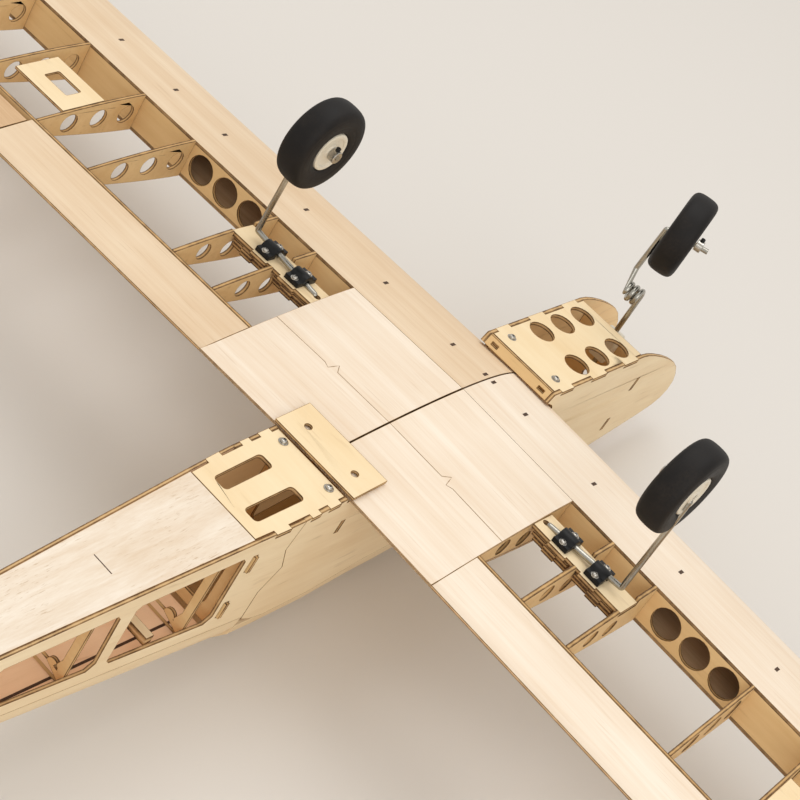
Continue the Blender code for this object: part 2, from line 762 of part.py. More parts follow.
def fuselage():
    for side, tag in ((1, "R"), (-1, "L")):
        frontSide(side, tag)
        rearSide(side, tag)
    nosePlate()
    noseFormer()
    hatch()
    bellySheet()
    turtledeck()
    canopy()
    boltPlate()
    edge = innerHalf
    opening = fuselageHalfWidth - 13.0
    former("firewall", firewallY + ply / 2.0, 1.0, -79.0, ((-64.0, -52.6), (-22.2, -9.6)), edge, None,
           [ring(0.0, -38.0, 5.0, 20)] + [ring(x, z, 1.7, 12) for x in (-13.0, 13.0) for z in (-25.0, -51.0)])
    former("saddle_former", -10.0, -9.4, -84.0, ((-33.4, -23.0),), edge, (opening, -76.0, -20.0))
    rearEdge = hw(73.6) - 2.4 - gap
    former("rear_former", 73.6, -11.4, -84.0, ((-74.2, -61.4), (-34.0, -21.0)), rearEdge,
           (opening, -76.0, -22.0))
    noseBracket()
    noseLeg()
    wheel("nose", (1.0, noseLegY, noseAxleZ), steer)


def tail():
    half = tailplaneHalfSpan
    low = tailplaneZ - 2.5
    high = tailplaneZ + 2.5
    front = tailplaneFront
    right = [(40.0, front + 6.0), (half - 16.0, front + 24.0), (half, front + 40.0), (half, tailplaneRear)]
    outline = [(-x, y) for x, y in reversed(right)] + [(0.0, front)] + right
    outline = outline[1:] + outline[:1]
    return outline, low, high


def tailplane():
    outline, low, high = tail()
    holes = []
    for side in (-1, 1):
        for x0, x1 in ((44.0, 88.0), (96.0, 140.0), (148.0, 192.0)):
            front0 = tailplaneFront + 24.0 + x0 * 0.11
            front1 = tailplaneFront + 24.0 + x1 * 0.11
            frame = [(side * x0, front0), (side * x1, front1), (side * x1, tailplaneRear - 9.0),
                     (side * x0, tailplaneRear - 9.0)]
            holes.append(frame)
    outline = [(-x, y) for x, y in reversed(outline)]
    plate("tailplane", balsa, outline, holes, "xy", low, high)


def elevator():
    half = tailplaneHalfSpan
    hinge = tailplaneRear + 1.4
    sections = []
    for x, rear in ((-half, elevatorRear - 14.0), (-half + 18.0, elevatorRear - 2.0), (-30.0, elevatorRear),
                    (-12.0, hinge + 14.0), (12.0, hinge + 14.0), (30.0, elevatorRear),
                    (half - 18.0, elevatorRear - 2.0), (half, elevatorRear - 14.0)):
        sections.append([
            (x, hinge, tailplaneZ), (x, hinge + 2.4, tailplaneZ + 2.5), (x, rear, tailplaneZ + 0.9),
            (x, rear, tailplaneZ - 0.9), (x, hinge + 2.4, tailplaneZ - 2.5),
        ])
    loft("elevator", balsa, sections, "yz", pivot=(0.0, hinge, tailplaneZ))


def fin():
    root = tailplaneZ - 2.5 - gap
    base = deckZ - 3.0
    outline = [(finFront, root), (finFront, base), (tailY - 60.0, base - 40.0), (tailY - 34.0, finTip + 8.0),
               (tailY - 26.0, finTip),
               (tailY, finTip), (tailY, root)]
    rear = tailY - 10.0
    holes = []
    for frontLow, frontHigh, low, high in ((62.0, 48.0, 14.0, 44.0), (43.0, 28.0, 54.0, 92.0)):
        holes.append([(tailY - frontLow, base - low), (tailY - frontHigh, base - high),
                      (rear, base - high), (rear, base - low)])
    plate("fin", balsa, outline, holes, "yz", -2.2, 2.2)


def rudder():
    hinge = tailY + 1.6
    base = deckZ - 6.0
    sections = []
    for z, rear in ((base, rudderRear - 24.0), (base - 22.0, rudderRear), (finTip + 14.0, rudderRear - 12.0),
                    (finTip, rudderRear - 26.0)):
        sections.append([
            (0.0, hinge, z), (2.2, hinge + 2.2, z), (0.8, rear, z), (-0.8, rear, z), (-2.2, hinge + 2.2, z),
        ])
    loft("rudder", balsa, sections, "xy", pivot=(0.0, hinge, -150.0))


def layOnBack():
    """Pitches the aeroplane so that its canopy and fin touch the ground, and centres it there."""
    turn = Matrix.Rotation(liePitch, 4, "X")
    low = Vector((1e9, 1e9, 1e9))
    high = -low
    parts = [obj for obj in bpy.data.objects if obj.type == "MESH"]
    for obj in parts:
        for vertex in obj.data.vertices:
            point = turn @ (obj.matrix_world @ vertex.co)
            for axis in range(3):
                low[axis] = min(low[axis], point[axis])
                high[axis] = max(high[axis], point[axis])
    shift = Matrix.Translation((0.0, -(low.y + high.y) / 2.0, -low.z))
    for obj in parts:
        obj.matrix_world = shift @ turn @ obj.matrix_world
    print("laid on its back: pitch", liePitch, "shift", tuple(shift.translation))


clearScene()
wing()
fuselage()
tailplane()
elevator()
fin()
rudder()
bpy.context.view_layer.update()
layOnBack()
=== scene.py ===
import json
import math
import bmesh
import bpy
from mathutils import Matrix, Vector
from mathutils.geometry import tessellate_polygon


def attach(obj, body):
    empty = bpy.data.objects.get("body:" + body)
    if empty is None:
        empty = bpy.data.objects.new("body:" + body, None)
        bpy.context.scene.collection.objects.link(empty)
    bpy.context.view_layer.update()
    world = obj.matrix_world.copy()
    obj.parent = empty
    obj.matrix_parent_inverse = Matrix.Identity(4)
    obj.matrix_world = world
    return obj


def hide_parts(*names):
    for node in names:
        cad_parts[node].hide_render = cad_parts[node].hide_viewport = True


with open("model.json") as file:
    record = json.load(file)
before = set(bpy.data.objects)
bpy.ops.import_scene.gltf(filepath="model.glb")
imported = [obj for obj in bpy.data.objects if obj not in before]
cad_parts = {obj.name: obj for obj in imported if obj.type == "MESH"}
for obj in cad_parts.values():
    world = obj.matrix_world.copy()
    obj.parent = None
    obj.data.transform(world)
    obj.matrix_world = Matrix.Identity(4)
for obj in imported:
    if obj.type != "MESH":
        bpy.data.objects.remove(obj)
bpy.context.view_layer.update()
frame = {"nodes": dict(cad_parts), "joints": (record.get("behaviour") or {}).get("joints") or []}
joints = {joint["name"]: joint for joint in frame["joints"]}
print("frame loaded:", len(frame["nodes"]), "nodes")

# Shapes are drawn in millimetres in the aeroplane's own directions: X towards its right wing,
# Y towards the tail, Z out of the belly, zero at the middle of the trailing edge.
# The rudder's axis gives how far it lies pitched, and the nose leg's axis gives where it lies.
finAxis = Vector(joints["rudder_hinge"]["axis"])
lieAngle = math.atan2(-finAxis.y, finAxis.z)
legPoint = Vector(joints["nose_steering"]["pos_m"])
legStation = -360.0
turn = Matrix.Rotation(lieAngle, 4, "X")
toLeg = Matrix.Translation((0, -legStation, 0))
place = Matrix.Translation(legPoint) @ turn @ Matrix.Scale(0.001, 4) @ toLeg
unplace = place.inverted()
sides = ((1, "R", "right"), (-1, "L", "left"))

wing = {"chord": 230.0, "thickness": 0.135, "tipRib": 596.0, "dihedral": 0.0273, "sheet": 2.0,
        "sparY": -149.8, "rearSparY": -44.6, "centreEdge": 104.2, "trailingEnd": 320.9}


def wingHalf(y):
    s = min(max((y + wing["chord"]) / wing["chord"], 0.0), 1.0)
    curve = 0.2969 * math.sqrt(s) - 0.1260 * s - 0.3516 * s**2 + 0.2843 * s**3 - 0.1036 * s**4
    return 5.0 * wing["thickness"] * wing["chord"] * curve


def onWing(x, y, lift=0.0):
    return Vector((x, y, max(wingHalf(y), 1.0) - abs(x) * wing["dihedral"] + lift))


def linkMesh(name, mesh, materials=()):
    obj = bpy.data.objects.new(name, mesh)
    bpy.context.scene.collection.objects.link(obj)
    for material in materials:
        mesh.materials.append(material)
    return obj


def settle(name, builder, material, sharp=35.0, recalc=True):
    if recalc:
        bmesh.ops.recalc_face_normals(builder, faces=builder.faces)
    mesh = bpy.data.meshes.new(name)
    builder.to_mesh(mesh)
    builder.free()
    mesh.transform(place)
    mesh.shade_smooth()
    mesh.set_sharp_from_angle(angle=math.radians(sharp))
    return linkMesh(name, mesh, [material] if material else [])


def asPattern(name, builder):
    # A mesh that repeat copies, left in the aeroplane's own directions.
    mesh = bpy.data.meshes.new(name)
    builder.to_mesh(mesh)
    builder.free()
    return linkMesh(name, mesh)


def ride(obj, body, replaced=()):
    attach(obj, body)
    if replaced:
        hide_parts(*replaced)
    return obj


def applyModifiers(obj):
    graph = bpy.context.evaluated_depsgraph_get()
    mesh = bpy.data.meshes.new_from_object(obj.evaluated_get(graph), depsgraph=graph)
    obj.modifiers.clear()
    obj.data = mesh
    return obj


def addLoop(builder, points):
    return [builder.verts.new(point) for point in points]


def bridge(builder, first, second):
    count = len(first)
    for i in range(count):
        j = (i + 1) % count
        builder.faces.new((first[i], first[j], second[j], second[i]))


def corners(a0, a1, b0, b1):
    return [(a0, b0), (a1, b0), (a1, b1), (a0, b1)]


def circle(radius, steps, a=0.0, b=0.0):
    return [(a + radius * math.cos(math.tau * i / steps), b + radius * math.sin(math.tau * i / steps))
            for i in range(steps)]


def lathe(builder, profile, centre, along, steps):
    along = Vector(along).normalized()
    across = along.orthogonal().normalized()
    other = along.cross(across)
    rows = []
    for i in range(steps):
        angle = math.tau * i / steps
        out = across * math.cos(angle) + other * math.sin(angle)
        rows.append(addLoop(builder, [Vector(centre) + out * r + along * t for r, t in profile]))
    for i in range(steps):
        bridge(builder, rows[i], rows[(i + 1) % steps])


def slab(builder, outline, holes, toPoint, low, high):
    layer = builder.verts.layers.float.get("burn") or builder.verts.layers.float.new("burn")
    loops = [outline] + list(holes)
    flat = [[Vector((a, b, 0.0)) for a, b in loop] for loop in loops]
    triangles = tessellate_polygon(flat)
    points = [point for loop in loops for point in loop]
    bottom = addLoop(builder, [toPoint(a, b, low) for a, b in points])
    top = addLoop(builder, [toPoint(a, b, high) for a, b in points])
    caps = []
    for triangle in triangles:
        caps.append(builder.faces.new([top[i] for i in triangle]))
        caps.append(builder.faces.new([bottom[i] for i in reversed(triangle)]))
    start = 0
    for loop in loops:
        count = len(loop)
        bridge(builder, bottom[start:start + count], top[start:start + count])
        start += count
    for vertex in bottom + top:
        vertex[layer] = 1.0
    return caps


def scorch(builder, caps, width):
    layer = builder.verts.layers.float["burn"]
    bmesh.ops.recalc_face_normals(builder, faces=builder.faces)
    made = bmesh.ops.inset_region(builder, faces=caps, thickness=width, use_boundary=True,
                                  use_even_offset=True)
    inner = {vertex for face in caps for vertex in face.verts}
    for vertex in inner:
        vertex[layer] = 0.0
    for edge in {edge for face in made["faces"] for edge in face.edges}:
        first, second = edge.verts
        if (first in inner) != (second in inner):
            moved, corner = (first, second) if first in inner else (second, first)
            offset = moved.co - corner.co
            if offset.length > 2.0 * width:
                moved.co = corner.co + offset.normalized() * 2.0 * width


def goldenWalls(builder, caps):
    # The cut wall of a plate is lightest half way through, and darkest along its two corners.
    layer = builder.verts.layers.float["burn"]
    flat = set(caps)
    across = [edge for edge in builder.edges if not any(face in flat for face in edge.link_faces)]
    made = bmesh.ops.subdivide_edges(builder, edges=across, cuts=1)
    for item in made["geom_inner"]:
        if isinstance(item, bmesh.types.BMVert):
            item[layer] = 0.52


def insideFaces(builder):
    # The faces of a side or of the belly that look into the fuselage.
    for face in builder.faces:
        centre = face.calc_center_median()
        sideways = face.normal.x * centre.x < 0 and abs(face.normal.x) > 0.8 and abs(centre.x) > 2.0
        if sideways or (face.normal.z < -0.8 and centre.z > -30.0):
            face.material_index = 1


def burntPlate(node, name, material, body, width=0.45, inside=None):
    builder = bmesh.new()
    builder.from_mesh(frame["nodes"][node].data)
    builder.transform(unplace)
    bmesh.ops.remove_doubles(builder, verts=builder.verts, dist=0.004)
    layer = builder.verts.layers.float.new("burn")
    builder.normal_update()
    if width:  # a sanded or moulded piece has no burnt edge
        for vertex in builder.verts:
            vertex[layer] = 1.0
        axis = max(builder.faces, key=lambda face: face.calc_area()).normal.copy()
        caps = [face for face in builder.faces if abs(face.normal.dot(axis)) > 0.8]
        goldenWalls(builder, caps)
        scorch(builder, caps, width)
    # The inside wood given for the inner faces glows a little: painted glow.
    if inside:
        builder.normal_update()
        insideFaces(builder)
    obj = settle(name, builder, material, 30.0, False)
    if inside:
        obj.data.materials.append(inside)
    return ride(obj, body, [node])


def interfaceOf(tree, inputs, outputs):
    for name, kind, value in inputs:
        socket = tree.interface.new_socket(name, in_out="INPUT", socket_type="NodeSocket" + kind)
        if value is not None:
            socket.default_value = value
    for name, kind in outputs:
        tree.interface.new_socket(name, in_out="OUTPUT", socket_type="NodeSocket" + kind)
    return tree.nodes.new("NodeGroupInput"), tree.nodes.new("NodeGroupOutput")


def put(tree, kind, settings=None, **inputs):
    node = tree.nodes.new(kind)
    for key, value in (settings or {}).items():
        setattr(node, key, value)
    for key, value in inputs.items():
        numbered = key[0] == "i" and key[1:].isdigit()
        socket = node.inputs[int(key[1:]) if numbered else key.replace("_", " ")]
        if isinstance(value, bpy.types.NodeSocket):
            tree.links.new(value, socket)
        else:
            socket.default_value = value
    return node


def calc(tree, operation, a, b=0.0, c=0.0):
    return put(tree, "ShaderNodeMath", {"operation": operation}, i0=a, i1=b, i2=c).outputs[0]


def span(tree, value, low, high, toLow=0.0, toHigh=1.0):
    return put(tree, "ShaderNodeMapRange", {}, Value=value, From_Min=low, From_Max=high,
               To_Min=toLow, To_Max=toHigh).outputs[0]


def mixColour(tree, factor, a, b):
    node = put(tree, "ShaderNodeMix", {"data_type": "RGBA"}, i0=factor, i6=a, i7=b)
    return node.outputs[2]


def noiseOf(tree, vector, scale, detail=3.0, roughness=0.55, distortion=0.0):
    return put(tree, "ShaderNodeTexNoise", {}, Vector=vector, Scale=scale, Detail=detail,
               Roughness=roughness, Distortion=distortion).outputs["Fac"]


def rgba(r, g, b):
    return (r, g, b, 1.0)


def makeGrainGroup():
    tree = bpy.data.node_groups.new("woodGrain", "ShaderNodeTree")
    start, end = interfaceOf(tree, [
        ("Vector", "Vector", None), ("Stretch", "Vector", (0.03, 1.0, 1.0)), ("Fineness", "Float", 0.8),
        ("Light", "Color", rgba(0.9, 0.8, 0.65)), ("Dark", "Color", rgba(0.8, 0.65, 0.45)),
        ("Fleck", "Color", rgba(0.6, 0.42, 0.22)), ("Fleck Amount", "Float", 0.2)],
        [("Color", "Color"), ("Height", "Float")])
    i = start.outputs
    along = put(tree, "ShaderNodeVectorMath", {"operation": "MULTIPLY"}, i0=i["Vector"],
                i1=i["Stretch"]).outputs[0]
    broad = noiseOf(tree, along, calc(tree, "MULTIPLY", i["Fineness"], 0.16), 3.0, 0.6, 0.4)
    fine = noiseOf(tree, along, i["Fineness"], 4.0, 0.65)
    cloud = noiseOf(tree, i["Vector"], 0.012, 2.0)
    tone = calc(tree, "ADD", calc(tree, "MULTIPLY", broad, 0.55), calc(tree, "MULTIPLY", fine, 0.30))
    tone = calc(tree, "ADD", tone, calc(tree, "MULTIPLY", cloud, 0.30))
    base = mixColour(tree, span(tree, tone, 0.38, 0.78), i["Light"], i["Dark"])
    dash = noiseOf(tree, along, calc(tree, "MULTIPLY", i["Fineness"], 1.7), 2.0, 0.5)
    dash = span(tree, dash, 0.60, 0.74)
    patch = span(tree, noiseOf(tree, i["Vector"], 0.03, 2.0), 0.38, 0.62)
    mask = calc(tree, "MULTIPLY", calc(tree, "MULTIPLY", dash, patch), i["Fleck Amount"])
    tree.links.new(mixColour(tree, mask, base, i["Fleck"]), end.inputs["Color"])
    height = calc(tree, "SUBTRACT", fine, calc(tree, "MULTIPLY", mask, 0.8))
    tree.links.new(height, end.inputs["Height"])
    return tree


def makeBurnGroup():
    tree = bpy.data.node_groups.new("laserBurn", "ShaderNodeTree")
    start, end = interfaceOf(tree, [
        ("Vector", "Vector", None), ("Color", "Color", rgba(0.8, 0.65, 0.45)), ("Burn", "Float", 0.0),
        ("Gold", "Color", rgba(0.56, 0.335, 0.135)), ("Char", "Color", rgba(0.055, 0.022, 0.008)),
        ("Depth", "Float", 1.0)], [("Color", "Color"), ("Roughness", "Float")])
    i = start.outputs
    patchy = noiseOf(tree, i["Vector"], 0.11, 3.0, 0.6)
    layers = noiseOf(tree, i["Vector"], 1.3, 2.0, 0.5)
    burn = calc(tree, "MULTIPLY", i["Burn"], i["Depth"])
    warm = span(tree, calc(tree, "ADD", burn, calc(tree, "MULTIPLY", patchy, 0.25)), 0.25, 0.9)
    dark = span(tree, calc(tree, "ADD", burn, calc(tree, "MULTIPLY", patchy, 0.6)), 0.92, 1.32)
    dark = calc(tree, "MULTIPLY", dark, span(tree, layers, 0.3, 0.6, 0.75, 1.0))
    warmed = mixColour(tree, warm, i["Color"], i["Gold"])
    tree.links.new(mixColour(tree, dark, warmed, i["Char"]), end.inputs["Color"])
    tree.links.new(span(tree, burn, 0.0, 1.0, 0.62, 0.8), end.inputs["Roughness"])
    return tree


def makeWearGroup():
    tree = bpy.data.node_groups.new("dustFilm", "ShaderNodeTree")
    start, end = interfaceOf(tree, [
        ("Vector", "Vector", None), ("Color", "Color", rgba(0.02, 0.02, 0.02)),
        ("Dust", "Color", rgba(0.2, 0.18, 0.15)), ("Amount", "Float", 0.3), ("Size", "Float", 0.05),
        ("Smooth", "Float", 0.5), ("Rough", "Float", 0.8)],
        [("Color", "Color"), ("Roughness", "Float"), ("Height", "Float")])
    i = start.outputs
    large = noiseOf(tree, i["Vector"], i["Size"], 4.0, 0.6, 0.3)
    small = noiseOf(tree, i["Vector"], calc(tree, "MULTIPLY", i["Size"], 14.0), 3.0, 0.6)
    patch = calc(tree, "MULTIPLY", span(tree, large, 0.42, 0.72), span(tree, small, 0.3, 0.65))
    mask = calc(tree, "MULTIPLY", patch, i["Amount"])
    tree.links.new(mixColour(tree, mask, i["Color"], i["Dust"]), end.inputs["Color"])
    rough = put(tree, "ShaderNodeMapRange", {}, Value=patch, To_Min=i["Smooth"], To_Max=i["Rough"]).outputs[0]
    tree.links.new(rough, end.inputs["Roughness"])
    tree.links.new(small, end.inputs["Height"])
    return tree


grainGroup = makeGrainGroup()
burnGroup = makeBurnGroup()
dustGroup = makeWearGroup()


def startMaterial(name):
    material = bpy.data.materials.new(name)
    material.use_nodes = True
    tree = material.node_tree
    shader = tree.nodes["Principled BSDF"]
    where = put(tree, "ShaderNodeTexCoord").outputs["Object"]
    mapping = put(tree, "ShaderNodeMapping", {"vector_type": "POINT"}, Vector=where)
    mapping.inputs["Scale"].default_value = (1000, 1000, 1000)
    mapping.inputs["Rotation"].default_value = (-lieAngle, 0, 0)
    mapping.inputs["Location"].default_value = unplace @ Vector((0, 0, 0))
    return material, tree, shader, mapping.outputs[0]


def groupNode(tree, group, **inputs):
    node = tree.nodes.new("ShaderNodeGroup")
    node.node_tree = group
    for key, value in inputs.items():
        socket = node.inputs[key.replace("_", " ")]
        if isinstance(value, bpy.types.NodeSocket):
            tree.links.new(value, socket)
        else:
            socket.default_value = value
    return node


def addBump(tree, shader, height, strength, distance):
    bump = put(tree, "ShaderNodeBump", {}, Height=height, Strength=strength, Distance=distance)
    tree.links.new(bump.outputs["Normal"], shader.inputs["Normal"])


woods = {
    "balsaSpan": dict(stretch=(0.016, 1, 1), fine=0.55, light=(0.90, 0.79, 0.655), dark=(0.77, 0.60, 0.43),
                      fleck=(0.50, 0.31, 0.15), fleckAmount=0.30, bump=0.12, burn=1.0),
    # balsaWarm is the darker far wing half: its own board's tone together with painted shade.
    "balsaWarm": dict(stretch=(0.016, 1, 1), fine=0.5, light=(0.81, 0.65, 0.465), dark=(0.68, 0.485, 0.30),
                      fleck=(0.48, 0.29, 0.13), fleckAmount=0.30, bump=0.12, burn=1.0),
    "balsaFuselage": dict(stretch=(1, 0.035, 1), fine=0.8, light=(0.88, 0.79, 0.67), dark=(0.70, 0.54, 0.38),
                          fleck=(0.46, 0.29, 0.14), fleckAmount=0.85, bump=0.25, burn=0.9),
    "balsaTan": dict(stretch=(0.02, 1, 1), fine=0.8, light=(0.74, 0.52, 0.31), dark=(0.54, 0.33, 0.17),
                     fleck=(0.30, 0.15, 0.06), fleckAmount=0.6, bump=0.2, burn=1.0),
    "balsaUpright": dict(stretch=(1, 0.8, 0.025), fine=0.6, light=(0.86, 0.70, 0.51), dark=(0.72, 0.52, 0.33),
                         fleck=(0.46, 0.28, 0.13), fleckAmount=0.5, bump=0.15, burn=1.0),
    "plyLight": dict(stretch=(0.06, 0.5, 0.5), fine=0.30, light=(0.90, 0.74, 0.49), dark=(0.80, 0.59, 0.33),
                     fleck=(0.42, 0.23, 0.08), fleckAmount=0.25, bump=0.06, burn=1.1),
    "plySide": dict(stretch=(1, 0.06, 0.6), fine=0.30, light=(0.88, 0.72, 0.48), dark=(0.74, 0.54, 0.31),
                    fleck=(0.42, 0.26, 0.11), fleckAmount=0.3, bump=0.06, burn=1.05),
    "plyBurnt": dict(stretch=(0.05, 0.6, 0.6), fine=0.5, light=(0.44, 0.26, 0.11), dark=(0.27, 0.14, 0.055),
                     fleck=(0.12, 0.05, 0.015), fleckAmount=0.5, bump=0.1, burn=1.3),
    # The two inside woods colour faces that look into the fuselage and glow a little: painted light, not a
    # lamp.
    "balsaInsideGlow": dict(stretch=(0.4, 0.04, 0.4), fine=0.4, light=(0.80, 0.55, 0.35), dark=(0.68, 0.43, 0.25),
                        fleck=(0.40, 0.20, 0.09), fleckAmount=0.4, bump=0.15, burn=1.0, through=0.22),
    "plyInsideGlow": dict(stretch=(1, 0.06, 0.6), fine=0.30, light=(0.86, 0.66, 0.38), dark=(0.72, 0.49, 0.24),
                      fleck=(0.42, 0.26, 0.11), fleckAmount=0.3, bump=0.06, burn=1.05, through=0.10),
    "plyGolden": dict(stretch=(0.05, 0.6, 0.6), fine=0.35, light=(0.80, 0.56, 0.28), dark=(0.64, 0.40, 0.17),
                      fleck=(0.34, 0.17, 0.05), fleckAmount=0.25, bump=0.06, burn=1.1),
}


def makeWood(name, look):
    material, tree, shader, where = startMaterial(name)
    grain = groupNode(tree, grainGroup, Vector=where, Stretch=look["stretch"], Fineness=look["fine"],
                      Light=rgba(*look["light"]), Dark=rgba(*look["dark"]), Fleck=rgba(*look["fleck"]),
                      Fleck_Amount=look["fleckAmount"])
    edge = put(tree, "ShaderNodeAttribute", {"attribute_name": "burn"}).outputs["Fac"]
    burn = groupNode(tree, burnGroup, Vector=where, Color=grain.outputs["Color"], Burn=edge,
                     Depth=look["burn"])
    tree.links.new(burn.outputs["Color"], shader.inputs["Base Color"])
    tree.links.new(burn.outputs["Roughness"], shader.inputs["Roughness"])
    shader.inputs["Specular IOR Level"].default_value = 0.3
    if "through" in look:  # painted glow: these faces emit their own colour, as though lit by light coming in through holes and thin wood
        tree.links.new(burn.outputs["Color"], shader.inputs["Emission Color"])
        shader.inputs["Emission Strength"].default_value = look["through"]
    addBump(tree, shader, grain.outputs["Height"], look["bump"], 0.0004)
    return material


wood = {name: makeWood(name, look) for name, look in woods.items()}


def makeChar():
    material, tree, shader, where = startMaterial("charredEdge")
    burn = groupNode(tree, burnGroup, Vector=where, Color=rgba(0.7, 0.5, 0.3), Burn=0.85, Depth=1.0,
                     Gold=rgba(0.50, 0.30, 0.13))
    tree.links.new(burn.outputs["Color"], shader.inputs["Base Color"])
    shader.inputs["Roughness"].default_value = 0.8
    return material


def makeDusty(name, colour, dust, amount, size, smooth, rough, metallic=0.0, bump=0.1):
    material, tree, shader, where = startMaterial(name)
    film = groupNode(tree, dustGroup, Vector=where, Color=rgba(*colour), Dust=rgba(*dust), Amount=amount,
                     Size=size, Smooth=smooth, Rough=rough)
    tree.links.new(film.outputs["Color"], shader.inputs["Base Color"])
    tree.links.new(film.outputs["Roughness"], shader.inputs["Roughness"])
    shader.inputs["Metallic"].default_value = metallic
    addBump(tree, shader, film.outputs["Height"], bump, 0.0002)
    return material


charredEdge = makeChar()
tyreRubber = makeDusty("tyreRubber", (0.0085, 0.0068, 0.006), (0.040, 0.031, 0.024), 0.5, 0.05, 0.55, 0.8,
                       bump=0.3)
hubNylon = makeDusty("hubNylon", (0.72, 0.65, 0.52), (0.46, 0.38, 0.27), 0.4, 0.08, 0.35, 0.55)
strapNylon = makeDusty("strapNylon", (0.006, 0.006, 0.006), (0.030, 0.028, 0.026), 0.5, 0.2, 0.35, 0.6)
musicWire = makeDusty("musicWire", (0.42, 0.40, 0.35), (0.15, 0.125, 0.095), 0.7, 0.12, 0.2, 0.42, 1.0)
screwSteel = makeDusty("screwSteel", (0.52, 0.49, 0.44), (0.16, 0.14, 0.115), 0.6, 0.3, 0.2, 0.42, 1.0)
seamInk = makeDusty("glueSeam", (0.30, 0.18, 0.085), (0.60, 0.43, 0.26), 0.9, 0.05, 0.7, 0.8)
# Painted shade: a dark finish laid where slots, cuts and the gaps round tab ends fall into shade.
slotShade = makeDusty("slotShadow", (0.055, 0.026, 0.012), (0.20, 0.10, 0.045), 0.6, 0.4, 0.7, 0.9)
for black in (tyreRubber, strapNylon):
    black.node_tree.nodes["Principled BSDF"].inputs["Specular IOR Level"].default_value = 0.22
print("finishes made:", len(bpy.data.materials))


def closeTree(tree, end, geometry, material):
    real = put(tree, "GeometryNodeRealizeInstances", {}, Geometry=geometry).outputs[0]
    final = put(tree, "GeometryNodeSetMaterial", {}, Geometry=real, Material=material).outputs[0]
    tree.links.new(final, end.inputs[0])
    return tree


def makeSheetTree():
    tree = bpy.data.node_groups.new("wingSheeting", "GeometryNodeTree")
    start, end = interfaceOf(tree, [
        ("Geometry", "Geometry", None), ("Chord", "Float", 230.0), ("Thickness", "Float", 0.135),
        ("Dihedral", "Float", 0.0273), ("From", "Float", -0.5), ("To", "Float", 0.5), ("Root", "Float", 0.6),
        ("End", "Float", 596.0), ("Steps", "Int", 48), ("Sheet", "Material", None)],
        [("Geometry", "Geometry")])
    i = start.outputs
    grid = put(tree, "GeometryNodeMeshGrid", {}, Size_X=1.0, Size_Y=1.0, Vertices_X=13,
               Vertices_Y=i["Steps"])
    spot = put(tree, "GeometryNodeInputPosition").outputs[0]
    axes = put(tree, "ShaderNodeSeparateXYZ", {}, Vector=spot).outputs
    x = span(tree, axes[0], -0.5, 0.5, i["Root"], i["End"])
    w = span(tree, axes[1], -0.5, 0.5, i["From"], i["To"])
    a = calc(tree, "ABSOLUTE", w)
    total = calc(tree, "MULTIPLY", a, 0.2969)
    for power, factor in ((2, -0.1260), (4, -0.3516), (6, 0.2843), (8, -0.1036)):
        total = calc(tree, "MULTIPLY_ADD", calc(tree, "POWER", a, power), factor, total)
    scale = calc(tree, "MULTIPLY", calc(tree, "MULTIPLY", i["Chord"], i["Thickness"]), 5.0)
    z = calc(tree, "MULTIPLY", calc(tree, "MULTIPLY", total, scale), calc(tree, "SIGN", w))
    z = calc(tree, "SUBTRACT", z, calc(tree, "MULTIPLY", calc(tree, "ABSOLUTE", x), i["Dihedral"]))
    y = calc(tree, "SUBTRACT", calc(tree, "MULTIPLY", calc(tree, "MULTIPLY", w, w), i["Chord"]), i["Chord"])
    where = put(tree, "ShaderNodeCombineXYZ", {}, X=x, Y=y, Z=z).outputs[0]
    moved = put(tree, "GeometryNodeSetPosition", {}, Geometry=grid.outputs["Mesh"], Position=where)
    return closeTree(tree, end, moved.outputs[0], i["Sheet"])


def makeWireTree():
    tree = bpy.data.node_groups.new("bentWire", "GeometryNodeTree")
    start, end = interfaceOf(tree, [
        ("Geometry", "Geometry", None), ("Radius", "Float", 2.0), ("Sides", "Int", 20),
        ("Finish", "Material", None)], [("Geometry", "Geometry")])
    i = start.outputs
    curve = put(tree, "GeometryNodeMeshToCurve", {}, Mesh=i["Geometry"]).outputs[0]
    ring = put(tree, "GeometryNodeCurvePrimitiveCircle", {}, Resolution=i["Sides"],
               Radius=i["Radius"]).outputs[0]
    tube = put(tree, "GeometryNodeCurveToMesh", {}, Curve=curve, Profile_Curve=ring, Fill_Caps=True)
    return closeTree(tree, end, tube.outputs[0], i["Finish"])


def makeRepeatTree():
    tree = bpy.data.node_groups.new("repeatPiece", "GeometryNodeTree")
    start, end = interfaceOf(tree, [
        ("Geometry", "Geometry", None), ("Piece", "Object", None), ("Size", "Float", 1.0),
        ("Turn Seed", "Int", 4), ("Turn", "Float", 0.0), ("Finish", "Material", None)],
        [("Geometry", "Geometry")])
    i = start.outputs
    shape = put(tree, "GeometryNodeObjectInfo", {}, Object=i["Piece"]).outputs["Geometry"]
    aim = put(tree, "GeometryNodeInputNamedAttribute", {"data_type": "FLOAT_VECTOR"}, Name="aim").outputs[0]
    facing = put(tree, "FunctionNodeAlignRotationToVector", {"axis": "Z"}, Vector=aim).outputs[0]
    chance = put(tree, "FunctionNodeRandomValue", {"data_type": "FLOAT"}, Seed=i["Turn Seed"]).outputs[1]
    angle = calc(tree, "MULTIPLY", chance, i["Turn"])
    spin = put(tree, "ShaderNodeCombineXYZ", {}, Z=angle).outputs[0]
    spinTurn = put(tree, "FunctionNodeEulerToRotation", {}, Euler=spin).outputs[0]
    turned = put(tree, "FunctionNodeRotateRotation", {"rotation_space": "LOCAL"}, Rotation=facing,
                 Rotate_By=spinTurn)
    placed = put(tree, "GeometryNodeInstanceOnPoints", {}, Points=i["Geometry"], Instance=shape,
                 Rotation=turned.outputs[0], Scale=i["Size"]).outputs[0]
    return closeTree(tree, end, placed, i["Finish"])


sheetTree = makeSheetTree()
wireTree = makeWireTree()
repeatTree = makeRepeatTree()


